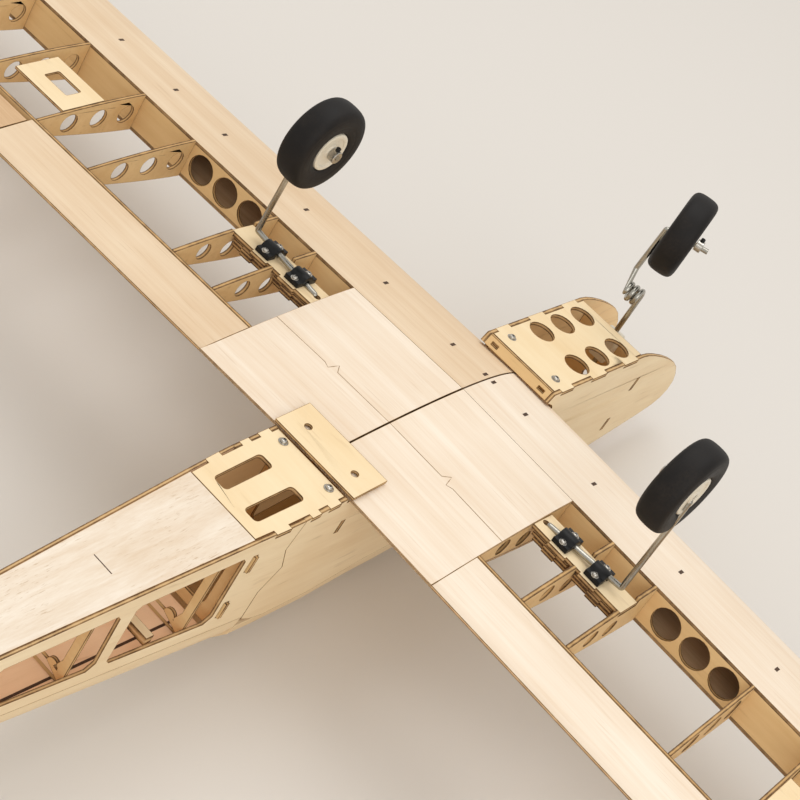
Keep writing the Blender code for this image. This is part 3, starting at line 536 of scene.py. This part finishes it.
def growMesh(name, tree, values, points=(), edges=(), aims=()):
    mesh = bpy.data.meshes.new(name + "Path")
    mesh.from_pydata([tuple(point) for point in points], list(edges), [])
    if aims:
        layer = mesh.attributes.new("aim", "FLOAT_VECTOR", "POINT")
        layer.data.foreach_set("vector", [number for aim in aims for number in aim])
    source = linkMesh(name + "Path", mesh)
    modifier = source.modifiers.new("shape", "NODES")
    modifier.node_group = tree
    for item in tree.interface.items_tree:
        if item.item_type == "SOCKET" and item.in_out == "INPUT" and item.name in values:
            modifier[item.identifier] = values[item.name]
    graph = bpy.context.evaluated_depsgraph_get()
    made = bpy.data.meshes.new_from_object(source.evaluated_get(graph), depsgraph=graph)
    bpy.data.objects.remove(source)
    made.name = name
    return made


def putGrown(name, mesh, sharp):
    mesh.transform(place)
    mesh.shade_smooth()
    mesh.set_sharp_from_angle(angle=math.radians(sharp))
    return linkMesh(name, mesh)


def wire(name, points, body, replaced, sideCount):
    edges = [(i, i + 1) for i in range(len(points) - 1)]
    values = {"Radius": gear["wire"], "Sides": sideCount, "Finish": musicWire}
    mesh = growMesh(name, wireTree, values, points, edges)
    return ride(putGrown(name, mesh, 50.0), body, replaced)


def repeat(name, piece, points, aims, material, body, size=1.0, turnAmount=0.0, sharp=35.0):
    values = {"Piece": piece, "Size": size, "Turn": turnAmount, "Finish": material}
    mesh = growMesh(name, repeatTree, values, points, (), aims)
    return ride(putGrown(name, mesh, sharp), body)


def sheeting(name, x0, x1, y, material, steps):
    # One sheet round the leading edge, from y on one side of the wing to y on the other.
    c = wing["chord"]
    reach = math.sqrt((y + c) / c)
    mesh = growMesh(name, sheetTree, {
        "Chord": c, "Thickness": wing["thickness"], "Dihedral": wing["dihedral"], "From": -reach,
        "To": reach, "Root": x0, "End": x1, "Steps": steps, "Sheet": material})
    if sum(face.normal.z * face.center.z * face.area for face in mesh.polygons) < 0:
        mesh.flip_normals()
    obj = linkMesh(name, mesh)
    mesh.materials.append(charredEdge)
    mesh.materials.append(wood["balsaTan"])
    thick = obj.modifiers.new("thick", "SOLIDIFY")
    thick.thickness = wing["sheet"]
    thick.offset = -1.0
    thick.material_offset = 2
    thick.material_offset_rim = 1
    return obj


def finishSheet(obj, body, replaced=()):
    applyModifiers(obj)
    builder = bmesh.new()
    builder.from_mesh(obj.data)
    bmesh.ops.remove_doubles(builder, verts=builder.verts, dist=0.001)
    bmesh.ops.recalc_face_normals(builder, faces=builder.faces)
    builder.transform(place)
    builder.to_mesh(obj.data)
    builder.free()
    obj.data.shade_smooth()
    obj.data.set_sharp_from_angle(angle=math.radians(30))
    return ride(obj, body, replaced)


def seamLine():
    edge = wing["centreEdge"]
    jog = {"at": 53.0, "seamY": -71.0, "depth": 6.5, "wide": 5.0}
    return [(0.8, jog["seamY"]), (jog["at"] - jog["wide"], jog["seamY"] - 0.5),
            (jog["at"] - 1.0, jog["seamY"] - jog["depth"]), (jog["at"] + 1.5, jog["seamY"] + 2.2),
            (jog["at"] + jog["wide"] + 1.0, jog["seamY"] + 0.3), (edge, jog["seamY"] + 0.8)]


def ribbon(builder, points, width, lift):
    rows = []
    for i, point in enumerate(points):
        before, after = points[max(i - 1, 0)], points[min(i + 1, len(points) - 1)]
        heading = (Vector(after) - Vector(before)).normalized()
        out = Vector((-heading.y, heading.x)) * width / 2
        for sign, height in ((1, lift), (-1, lift), (-1, -0.3), (1, -0.3)):
            x, y = point[0] + out.x * sign, point[1] + out.y * sign
            rows.append(builder.verts.new(onWing(x, y, height)))
    for i in range(len(points) - 1):
        bridge(builder, rows[4 * i:4 * i + 4], rows[4 * i + 4:4 * i + 8])
    builder.faces.new(rows[:4])
    builder.faces.new(rows[-4:])


def subdivide(points, step=6.0):
    fine = [points[0]]
    for a, b in zip(points, points[1:]):
        count = max(1, round(math.dist(a, b) / step))
        fine += [(a[0] + (b[0] - a[0]) * k / count, a[1] + (b[1] - a[1]) * k / count)
                 for k in range(1, count + 1)]
    return fine


def buildWing():
    for side, tag, word in sides:
        tip = wing["tipRib"]
        sheet = wood["balsaWarm" if side > 0 else "balsaSpan"]  # the two halves differ partly by the tone of different boards and partly by painted shade that darkens the far, right half
        lead = sheeting("leadingSheet" + tag, side * 0.6, side * (tip - 0.3), wing["sparY"], sheet, 73)
        finishSheet(lead, "airframe", ["le_skin_" + tag])
        burntPlate("te_skin_" + tag, "trailingSheet" + tag, sheet, "airframe", 0.3)
        burntPlate("centre_skin_" + tag, "centreSheet" + tag, wood["balsaSpan"], "airframe",
                   0.3)
        builder = bmesh.new()
        ribbon(builder, [(side * x, y) for x, y in subdivide(seamLine())], 0.55, 0.06)
        ride(settle("sheetSeam" + tag, builder, seamInk), "airframe")
        burntPlate("spar_web_" + tag, "sparWeb" + tag, wood["plyGolden"], "airframe")
        burntPlate("rear_spar_" + tag, "rearSpar" + tag, wood["plyGolden"], "airframe")
        burntPlate("gear_plate_" + tag, "gearPlate" + tag, wood["plyLight"], "airframe")
        for number in range(1, 7):
            burntPlate("rib_%d_%s" % (number, tag), "rib%d%s" % (number, tag), wood["plyGolden"], "airframe",
                       0.4)
        burntPlate("aileron_" + tag, "aileronBlock" + tag, wood["balsaTan"], "aileron_" + word,
                   0.3)
        burntPlate("wing_tip_" + tag, "tipBlock" + tag, wood["balsaSpan"], "airframe", 0)
    print("wing built")


def buildFuselage():
    # Both inside woods glow a little on the faces that look into the fuselage: painted glow.
    inner, cheekInnerGlow = wood["balsaInsideGlow"], wood["plyInsideGlow"]
    for side, tag, word in sides:
        burntPlate("side_front_" + tag, "cheek" + tag, wood["plySide"], "airframe",
                   inside=cheekInnerGlow)
        burntPlate("side_rear_" + tag, "tailSide" + tag, wood["plySide"], "airframe",
                   inside=inner)
    burntPlate("nose_plate", "nosePlate", wood["plyLight"], "airframe")
    burntPlate("nose_former", "noseFormer", wood["plyGolden"], "airframe")
    burntPlate("belly_hatch", "bellyHatch", wood["plyLight"], "airframe")
    burntPlate("wing_bolt_plate", "boltPlate", wood["plyLight"], "airframe")
    burntPlate("belly_sheet", "bellySheet", wood["balsaFuselage"], "airframe", 0.3, inner)
    for node, name in (("firewall", "fireWall"), ("saddle_former", "saddleFormer"),
                       ("rear_former", "rearFormer")):
        burntPlate(node, name, wood["plyGolden"], "airframe")
    burntPlate("turtledeck", "turtleDeck", wood["plySide"], "airframe", 0)
    burntPlate("canopy", "canopyShell", wood["plySide"], "airframe", 0)
    burntPlate("tailplane", "tailPlane", wood["balsaSpan"], "airframe")
    burntPlate("fin", "finFrame", wood["balsaUpright"], "airframe")
    burntPlate("elevator", "elevatorBlade", wood["balsaTan"], "elevator", 0.2)
    burntPlate("rudder", "rudderBlade", wood["balsaUpright"], "rudder", 0.2)
    print("fuselage built")


def rounded(points, radius, steps=8):
    # Turns each inner corner of a path into an arc of that radius.
    path = [Vector(points[0])]
    for before, corner, after in zip(points, points[1:], points[2:]):
        before, corner, after = Vector(before), Vector(corner), Vector(after)
        toBefore, toAfter = (before - corner).normalized(), (after - corner).normalized()
        half = toBefore.angle(toAfter) / 2
        reach = min(radius / math.tan(half), (before - corner).length * 0.49, (after - corner).length * 0.49)
        centre = corner + (toBefore + toAfter).normalized() * (reach / math.cos(half))
        first, last = corner + toBefore * reach - centre, corner + toAfter * reach - centre
        for k in range(steps + 1):
            path.append(centre + first.slerp(last, k / steps))
    path.append(Vector(points[-1]))
    return path


gear = {"axleY": -115.3, "axleZ": 96.0, "axleEnd": 145.3, "collarX": 148.3, "legX": 174.5, "wheelX": 161.2,
        "plateTop": 12.0, "wire": 2.0, "hookX": 108.0, "bendRadius": 5.0, "strapXs": (125.5, 154.0),
        "strapWide": 12.4, "strapGap": 0.3, "flange": 3.6, "screwOut": 7.4}
noseGear = {"steer": math.radians(16.4), "y": legStation, "legX": 15.5, "coilZ": 46.0, "coilRadius": 5.4,
            "coilPitch": 4.5, "turns": 2.5, "axleZ": 104.0, "low": -22.0, "axleEnd": -20.5,
            "bendRadius": 4.5, "wheelX": 1.0, "collarX": -13.0, "coilSteps": 28}
tyreShape = {"moulding": 0.16,
             "side": [(14.9, 8.4), (15.7, 9.5), (17.6, 10.1), (20.4, 10.5), (23.6, 10.7), (26.8, 10.5),
                      (29.2, 9.7), (30.9, 8.1), (31.8, 5.6), (32.15, 2.8)]}


def throughPoints(points, cuts):
    # A smooth curve through the points, with that many steps between each two.
    fine = []
    for k in range(len(points) - 1):
        a, b, c, d = (Vector(points[min(max(k + n, 0), len(points) - 1)]) for n in (-1, 0, 1, 2))
        for step in range(cuts):
            t = step / cuts
            fine.append(0.5 * (2 * b + (c - a) * t + (2 * a - 5 * b + 4 * c - d) * t**2
                               + (3 * b - a - 3 * c + d) * t**3))
    fine.append(Vector(points[-1]))
    return fine


def tyreProfile():
    half = throughPoints([*tyreShape["side"], (32.25, 0.0)], 4)
    ridged = []
    for k, (radius, offset) in enumerate(half):
        step = tyreShape["moulding"] * (k % 8 == 4 and radius < 30.0)
        ridged.append((radius, offset - step))
    return [(radius, -offset) for radius, offset in ridged] + [(r, o) for r, o in reversed(ridged[:-1])]


hubHalf = [(2.35, 10.0), (4.7, 10.0), (5.1, 9.8), (5.4, 9.0), (6.1, 8.8), (10.4, 8.9), (10.9, 9.1),
           (11.3, 9.7), (11.9, 9.95), (13.5, 9.95), (14.2, 9.6), (14.6, 8.5)]
hubProfile = [(r, -o) for r, o in hubHalf] + [(r, o) for r, o in reversed(hubHalf)]


def wheelAt(tag, centre, along, body):
    builder = bmesh.new()
    lathe(builder, tyreProfile(), centre, along, 96)
    ride(settle("tyre" + tag.capitalize(), builder, tyreRubber, 40), body, ["tyre_" + tag])
    builder = bmesh.new()
    lathe(builder, hubProfile, centre, along, 72)
    bmesh.ops.recalc_face_normals(builder, faces=builder.faces)
    ride(settle("hub" + tag.capitalize(), builder, hubNylon, 28), body, ["hub_" + tag])


def collarAt(name, centre, along, body, screwAim=(0, 0, 1)):
    builder = bmesh.new()
    ring = [(2.05, -2.6), (4.1, -2.6), (4.5, -2.2), (4.5, 2.2), (4.1, 2.6), (2.05, 2.6)]
    lathe(builder, ring, centre, along, 48)
    ride(settle(name, builder, screwSteel, 40), body)
    builder = bmesh.new()
    foot = Vector(centre) + Vector(screwAim) * 3.6
    socket = [(0.7, 2.0), (0.8, 2.9), (1.5, 2.9), (1.6, 2.7), (1.6, 0.0), (0.7, 0.0)]
    lathe(builder, socket, foot, screwAim, 24)
    ride(settle(name + "Screw", builder, strapNylon, 40), body)


def strapShape(side, tag, name, x):
    base = gear["plateTop"] + gear["strapGap"]
    flange = base + gear["flange"]
    wireZ = gear["plateTop"] + gear["wire"] + gear["strapGap"]
    arch = [(5.4 * math.cos(math.pi * k / 16), max(wireZ + 5.3 * math.sin(math.pi * k / 16), flange))
            for k in range(17)]
    under = [(2.3 * math.cos(math.pi * k / 10), wireZ + 2.3 * math.sin(math.pi * k / 10)) for k in range(11)]
    outline = [(10.0, base), (10.0, flange), (6.6, flange), *arch, (-6.6, flange), (-10.0, flange),
               (-10.0, base), (-2.3, base), *reversed(under), (2.3, base)]
    builder = bmesh.new()
    half = gear["strapWide"] / 2

    def toPoint(a, b, t):
        return (side * t, gear["axleY"] + a, b - abs(t) * wing["dihedral"])

    slab(builder, outline, [], toPoint, x - half, x + half)
    obj = settle("strap" + name.capitalize() + tag, builder, None, 35)
    bevel = obj.modifiers.new("soft", "BEVEL")
    bevel.width = 0.0007
    bevel.segments = 2
    bevel.limit_method = "ANGLE"
    bevel.angle_limit = math.radians(50)
    applyModifiers(obj)
    obj.data.materials.clear()
    obj.data.materials.append(strapNylon)
    obj.data.shade_smooth()
    obj.data.set_sharp_from_angle(angle=math.radians(40))
    return ride(obj, "airframe", ["strap_%s_%s" % (name, tag)])


def buildGear():
    drop, wireY, axleZ = wing["dihedral"], gear["axleY"], gear["axleZ"]
    wireZ = gear["plateTop"] + gear["wire"] + gear["strapGap"]
    for side, tag, word in sides:
        hook, leg = side * gear["hookX"], side * gear["legX"]
        points = [(hook, wireY, 5.0), (hook, wireY, wireZ - gear["hookX"] * drop),
                  (leg, wireY, wireZ - gear["legX"] * drop), (leg, wireY, axleZ),
                  (side * gear["axleEnd"], wireY, axleZ)]
        path = rounded(points, gear["bendRadius"])
        wire("gearWire" + tag, path, "gear_" + word, ["gear_wire_" + tag], 24)
        wheelAt(tag, (side * gear["wheelX"], wireY, axleZ), (side, 0, 0), "wheel_" + word)
        collarPoint = (side * gear["collarX"], wireY, axleZ)
        collarAt("axleCollar" + tag, collarPoint, (side, 0, 0), "gear_" + word)
        for name, x in zip(("inner", "outer"), gear["strapXs"]):
            strapShape(side, tag, name, x)
    buildNoseLeg()
    buildBearing()
    print("undercarriage built")


def buildNoseLeg():
    swing = Matrix.Rotation(noseGear["steer"], 4, "Z")
    foot = Vector((0, noseGear["y"], 0))

    def steered(point):
        return foot + swing @ (Vector(point) - foot)

    steps = noseGear["coilSteps"]
    y, coilZ, axleZ = noseGear["y"], noseGear["coilZ"], noseGear["axleZ"]
    coil = []
    for k in range(int(noseGear["turns"] * steps) + 1):
        angle = math.pi + math.tau * k / steps
        coil.append((noseGear["coilPitch"] * k / steps, y + noseGear["coilRadius"] * (1 + math.cos(angle)),
                     coilZ - noseGear["coilRadius"] * math.sin(angle)))
    end = coil[-1]
    upper = rounded([(end[0], end[1], coilZ + 2.0), (noseGear["legX"], y, coilZ + 16.0),
                     (noseGear["legX"] + 1.0, y, axleZ), (noseGear["axleEnd"], y, axleZ)],
                    noseGear["bendRadius"])
    path = [(0, y, noseGear["low"]), (0, y, 0), (0, y, coilZ - 6.0), *coil, *upper[1:]]
    wire("noseLegWire", [steered(point) for point in path], "nose_leg", ["nose_leg"], 20)
    axis = swing @ Vector((1, 0, 0))
    wheelAt("nose", steered((noseGear["wheelX"], y, axleZ)), axis, "nose_wheel")
    collarPoint = steered((noseGear["collarX"], y, axleZ))
    collarAt("noseCollar", collarPoint, axis, "nose_leg", swing @ Vector((0, 0, 1)))


def buildBearing():
    # The block behind the firewall that the nose leg turns in.
    block = {"half": 7.0, "front": 6.2, "rear": 5.4, "corner": 1.6, "bottom": -15.0, "top": 9.0}
    y = noseGear["y"]
    builder = bmesh.new()
    outline = roundedBox(-block["half"], block["half"], y - block["front"], y + block["rear"],
                         block["corner"])
    slab(builder, outline, [circle(gear["wire"] + 0.15, 20, 0, y)], lambda a, b, t: (a, b, t),
         block["bottom"], block["top"])
    ride(settle("noseBearing", builder, hubNylon, 30), "airframe", ["nose_bracket"])


def roundedBox(a0, a1, b0, b1, radius, steps=5):
    points = []
    for a, b, quarter in ((a1 - radius, b1 - radius, 0), (a0 + radius, b1 - radius, 1),
                          (a0 + radius, b0 + radius, 2), (a1 - radius, b0 + radius, 3)):
        for k in range(steps + 1):
            angle = (quarter + k / steps) * math.pi / 2
            points.append((a + radius * math.cos(angle), b + radius * math.sin(angle)))
    return points


def screwHead():
    # A pan head with a cross recess, standing on a thin washer.
    builder = bmesh.new()
    steps = 24
    rings = [addLoop(builder, [(a, b, z) for a, b in circle(r, steps)])
             for r, z in ((3.5, -0.2), (3.6, 0.25), (3.4, 0.45), (2.45, 0.45), (2.5, 1.0), (2.2, 1.7),
                          (1.75, 2.05))]
    for first, second in zip(rings, rings[1:]):
        bridge(builder, first, second)
    builder.faces.new(list(reversed(rings[0])))
    arm, wide = 1.25, 0.33
    cross = [(arm, -wide), (arm, wide), (wide, wide), (wide, arm), (-wide, arm), (-wide, wide),
             (-arm, wide), (-arm, -wide), (-wide, -wide), (-wide, -arm), (wide, -arm), (wide, -wide)]
    rim = addLoop(builder, [(a, b, 2.15) for a, b in cross])
    pit = addLoop(builder, [(a * 0.85, b * 0.85, 1.1) for a, b in cross])
    outer = [Vector((v.co.x, v.co.y, 0)) for v in rings[-1]]
    inner = [Vector((a, b, 0)) for a, b in cross]
    verts = rings[-1] + rim
    for triangle in tessellate_polygon([outer, inner]):
        builder.faces.new([verts[k] for k in triangle])
    bridge(builder, rim, pit)
    builder.faces.new(pit)
    bmesh.ops.recalc_face_normals(builder, faces=builder.faces)
    return asPattern("screwPattern", builder)


def bellyLine(y):
    return -8.0 * (y - 2.0) / 77.0 if y < 79.0 else -8.0 - 0.1152 * (y - 79.0)


def buildScrews():
    pattern = screwHead()
    up = Vector((0, 0, 1))
    strapPoints, strapAims = [], []
    for side, tag, word in sides:
        for x in gear["strapXs"]:
            for out in (-gear["screwOut"], gear["screwOut"]):
                z = gear["plateTop"] + gear["strapGap"] + gear["flange"] - x * wing["dihedral"]
                strapPoints.append((side * x, gear["axleY"] + out, z - 0.25))
                strapAims.append(up)
    repeat("strapScrews", pattern, strapPoints, strapAims, screwSteel, "airframe", 0.82, math.tau)
    plate = {"hatchX": 21.5, "hatchY": -236.0, "hatchZ": 18.0, "boltX": 20.4, "boltY": 7.2}
    platePoints = [(sign * plate["hatchX"], plate["hatchY"], plate["hatchZ"]) for sign in (-1, 1)]
    platePoints += [(sign * plate["boltX"], plate["boltY"], bellyLine(plate["boltY"])) for sign in (-1, 1)]
    repeat("plateScrews", pattern, platePoints, [up] * 4, screwSteel, "airframe", 0.95, math.tau)
    bpy.data.objects.remove(pattern)


def buildTabs():
    # The ends of the rib tabs that show in the leading edge sheet, in the dark slot finish: painted shade of
    # the slots they sit in.
    tab = {"xs": (4.0, 35.0, 100.5, 181.0, 266.5, 319.5, 380.0, 440.0, 500.0, 560.0), "y": -182.5,
           "long": 5.2, "wide": 2.4, "proud": 0.07}
    builder = bmesh.new()
    a, b, t = tab["wide"] / 2, tab["long"] / 2, tab["proud"]
    caps = slab(builder, corners(-a, a, -b, b), [], lambda x, y, z: (x, y, z), -1.0, t)
    scorch(builder, caps, 0.35)
    pattern = asPattern("tabPattern", builder)
    slope = (wingHalf(tab["y"] + 1) - wingHalf(tab["y"] - 1)) / 2
    for side, tag, word in sides:
        points = [onWing(side * x, tab["y"]) for x in tab["xs"]]
        aims = [Vector((side * wing["dihedral"], -slope, 1)).normalized()] * len(points)
        repeat("ribTabs" + tag, pattern, points, aims, slotShade, "airframe")
    bpy.data.objects.remove(pattern)


def woodSlab(name, outline, holes, toPoint, low, high, material, body, width=0.4):
    builder = bmesh.new()
    caps = slab(builder, outline, holes, toPoint, low, high)
    goldenWalls(builder, caps)
    scorch(builder, caps, width)
    return ride(settle(name, builder, material, 30), body)


def buildOuterRibs():
    # Ribs of the outer panels, which the frame leaves out, repeated along the span.
    outer = {"xs": (380.0, 500.0, 560.0), "half": 1.3, "holes": (-80.0, -109.0, -136.5), "holeRadius": 7.6}
    low, high = wing["sparY"] + 0.3, wing["rearSparY"] - 3.2
    ys = [low + (high - low) * k / 20 for k in range(21)]
    outline = [(y, wingHalf(y)) for y in ys] + [(y, -wingHalf(y)) for y in reversed(ys)]
    builder = bmesh.new()
    caps = slab(builder, outline, [circle(outer["holeRadius"], 28, y, 0) for y in outer["holes"]],
                lambda a, b, t: (t, a, b), -outer["half"], outer["half"])
    goldenWalls(builder, caps)
    scorch(builder, caps, 0.4)
    pattern = asPattern("ribPattern", builder)
    for side, tag, word in sides:
        points = [(side * x, 0, -x * wing["dihedral"]) for x in outer["xs"]]
        repeat("outerRibs" + tag, pattern, points, [Vector((0, 0, 1))] * 3, wood["plyGolden"],
               "airframe", sharp=30.0)
    bpy.data.objects.remove(pattern)


def buildTrays():
    # The servo tray beside the fifth rib, and the doublers under the back edge of each gear plate.
    tray = {"outline": (321.2, 372.0, -111.0, -72.0), "window": (334.0, 358.0, -100.0, -86.0), "corner": 1.5,
            "thick": 2.0}
    for side, tag, word in sides:
        woodSlab("servoTray" + tag, corners(*tray["outline"]), [roundedBox(*tray["window"], tray["corner"])],
                 lambda a, b, t: onWing(side * a, b, t - tray["thick"]), 0.0, tray["thick"],
                 wood["plyLight"], "airframe")
        for level in range(2):
            top = gear["plateTop"] - 3.4 - 3.2 * level
            back = gear["axleY"] + 11.2 - 0.9 * level
            xs = [(107.0 + 2.0 * level, 137.5), (144.4, 176.5)]
            for n, (x0, x1) in enumerate(xs):
                notch = [(x0, back - 7.0), (x1, back - 7.0), (x1, back), (x1 - 9.0, back),
                         (x1 - 9.0, back + 1.9), (x1 - 19.0, back + 1.9), (x1 - 19.0, back), (x0, back)]
                woodSlab("gearDoubler%d%d%s" % (level, n, tag), notch, [],
                         lambda a, b, t: (side * a, b, t - a * wing["dihedral"]), top - 2.9, top,
                         wood["plyBurnt"], "airframe", 0.6)


def halfWidth(y):
    return 33.0 - (33.0 - 4.9) / 556.0 * max(y - 44.0, 0.0)


def buildInside():
    # Formers whose lower bar has two rounded bumps, a crossing stick, and the deck tray with its
    # two slots, drawn as thin dark strips of painted shade.
    inside = {"formers": (97.0, 190.0, 300.0, 395.0), "thick": 2.6, "bump": 4.4, "deck": -85.6, "slot": 16.0,
              "stickY": 127.0, "stickWide": 6.4, "slotFrom": 78.0, "slotTo": 280.0, "slotWide": 1.8,
              "trayFrom": 77.0, "trayTo": 440.0, "trayGap": 3.4}
    for n, y in enumerate(inside["formers"]):
        wide = halfWidth(y) - 2.8
        top, low = bellyLine(y) - 2.4, inside["deck"]
        at = min(inside["slot"], 0.55 * wide)
        opening = [(wide - 5.5, top - 7.0), (wide - 5.5, low + 16.0), (wide - 9.0, low + 7.5)]
        for k in range(9):
            angle = math.pi * k / 8
            opening.append((at + inside["bump"] * math.cos(angle),
                            low + 7.0 + inside["bump"] * math.sin(angle)))
        ringPoints = opening + [(-a, b) for a, b in reversed(opening)]
        woodSlab("tailFormer%d" % (n + 1), [(wide, top), (wide, low), (-wide, low), (-wide, top)],
                 [ringPoints], lambda a, b, t: (a, y + t, b), -inside["thick"] / 2, inside["thick"] / 2,
                 wood["plyGolden"], "airframe", 0.5)
    reach, half = halfWidth(inside["stickY"]) - inside["trayGap"], inside["stickWide"] / 2
    woodSlab("tailStick", corners(-reach, reach, -half, half), [],
             lambda a, b, t: (a, inside["stickY"] + b, t), -79.0, -73.0, wood["plyLight"],
             "airframe")
    half = inside["slotWide"] / 2
    for side, tag, word in sides:
        woodSlab("deckSlot" + tag, corners(-half, half, inside["slotFrom"], inside["slotTo"]), [],
                 lambda a, b, t: (side * (inside["slot"] + a), b, t), -86.5, -86.1, slotShade,
                 "airframe", 0.2)
    near, far = inside["trayFrom"], inside["trayTo"]
    wideEnd, narrowEnd = halfWidth(near) - inside["trayGap"], halfWidth(far) - inside["trayGap"]
    tray = [(wideEnd, near), (narrowEnd, far), (-narrowEnd, far), (-wideEnd, near)]
    # The deck tray is in the glowing inside wood: painted glow.
    woodSlab("deckTray", tray, [], lambda a, b, t: (a, b, t), -88.0, -86.2, wood["balsaInsideGlow"],
             "airframe")


def bellySlit():
    # The short cut across the belly sheet, drawn as a thin dark strip of painted shade.
    slit = {"y": 172.0, "from": -7.0, "to": 8.0, "wide": 0.7, "proud": 0.05}
    a, b = slit["y"] - slit["wide"] / 2, slit["y"] + slit["wide"] / 2
    woodSlab("bellySlit", corners(slit["from"], slit["to"], a, b), [],
             lambda x, y, t: (x, y, bellyLine(y) + t), -0.6, slit["proud"], slotShade, "airframe",
             0.1)


def buildNoseTray():
    # The tray that the battery lies on, low in the nose, with two strap slots.
    tray = {"front": -356.0, "rear": -224.0, "half": 29.5, "top": -71.0, "thick": 2.8}
    outline = corners(-tray["half"], tray["half"], tray["front"], tray["rear"])
    slots = [roundedBox(x - 1.5, x + 1.5, y - 9.0, y + 9.0, 1.0)
             for x in (-18.0, 18.0) for y in (-312.0, -262.0)]
    woodSlab("noseTray", outline, slots, lambda a, b, t: (a, b, t), tray["top"] - tray["thick"], tray["top"],
             wood["plyLight"], "airframe")


buildWing()
buildFuselage()
buildNoseTray()
bellySlit()
buildGear()
buildScrews()
buildTabs()
buildOuterRibs()
buildTrays()
buildInside()
print("details built")


def buildStage():
    look = {"size": 6.0, "floor": (0.70, 0.66, 0.61), "sky": 0.79, "aim": (0, -0.15, 0.1)}
    lamps = {"key": {"at": (0.35, -0.75, 2.2), "size": 1.6, "power": 16.0},
             "fill": {"at": (-1.4, 1.0, 1.3), "size": 1.8, "power": 13.0}}
    builder = bmesh.new()
    half = look["size"]
    builder.faces.new(addLoop(builder, [(a, b, 0) for a, b in corners(-half, half, -half, half)]))
    mesh = bpy.data.meshes.new("floor")
    builder.to_mesh(mesh)
    builder.free()
    paper = bpy.data.materials.new("floorPaper")
    paper.use_nodes = True
    shader = paper.node_tree.nodes["Principled BSDF"]
    shader.inputs["Base Color"].default_value = rgba(*look["floor"])
    shader.inputs["Roughness"].default_value = 0.95
    floor = linkMesh("floor", mesh, [paper])
    world = bpy.data.worlds.new("studio")
    world.use_nodes = True
    world.node_tree.nodes["Background"].inputs["Color"].default_value = rgba(1.0, 0.985, 0.96)
    world.node_tree.nodes["Background"].inputs["Strength"].default_value = look["sky"]
    bpy.context.scene.world = world
    bpy.context.scene.view_settings.view_transform = "Standard"
    for name, lampLook in lamps.items():
        data = bpy.data.lights.new(name, "AREA")
        data.size = lampLook["size"]
        data.energy = lampLook["power"]
        lamp = bpy.data.objects.new(name, data)
        lamp.location = lampLook["at"]
        lamp.rotation_mode = "QUATERNION"
        aim = Vector(look["aim"]) - Vector(lampLook["at"])
        lamp.rotation_quaternion = aim.to_track_quat("-Z", "Y")
        bpy.context.scene.collection.objects.link(lamp)


def buildCamera():
    view = {"at": (-372.458, 905.308, 689.771), "right": (-0.677512, -0.572989, 0.461152),
            "up": (0.670319, -0.222955, 0.707788), "back": (-0.302739, 0.788654, 0.535140), "lens": 89.883}
    data = bpy.data.cameras.new("camera")
    data.lens = view["lens"]
    data.sensor_width = 36.0
    data.clip_start = 0.05
    data.clip_end = 50.0
    camera = bpy.data.objects.new("camera", data)
    bpy.context.scene.collection.objects.link(camera)
    look = Matrix((view["right"], view["up"], view["back"])).transposed()
    camera.matrix_world = Matrix.Translation(place @ Vector(view["at"])) @ (turn.to_3x3() @ look).to_4x4()
    bpy.context.scene.camera = camera


buildStage()
buildCamera()
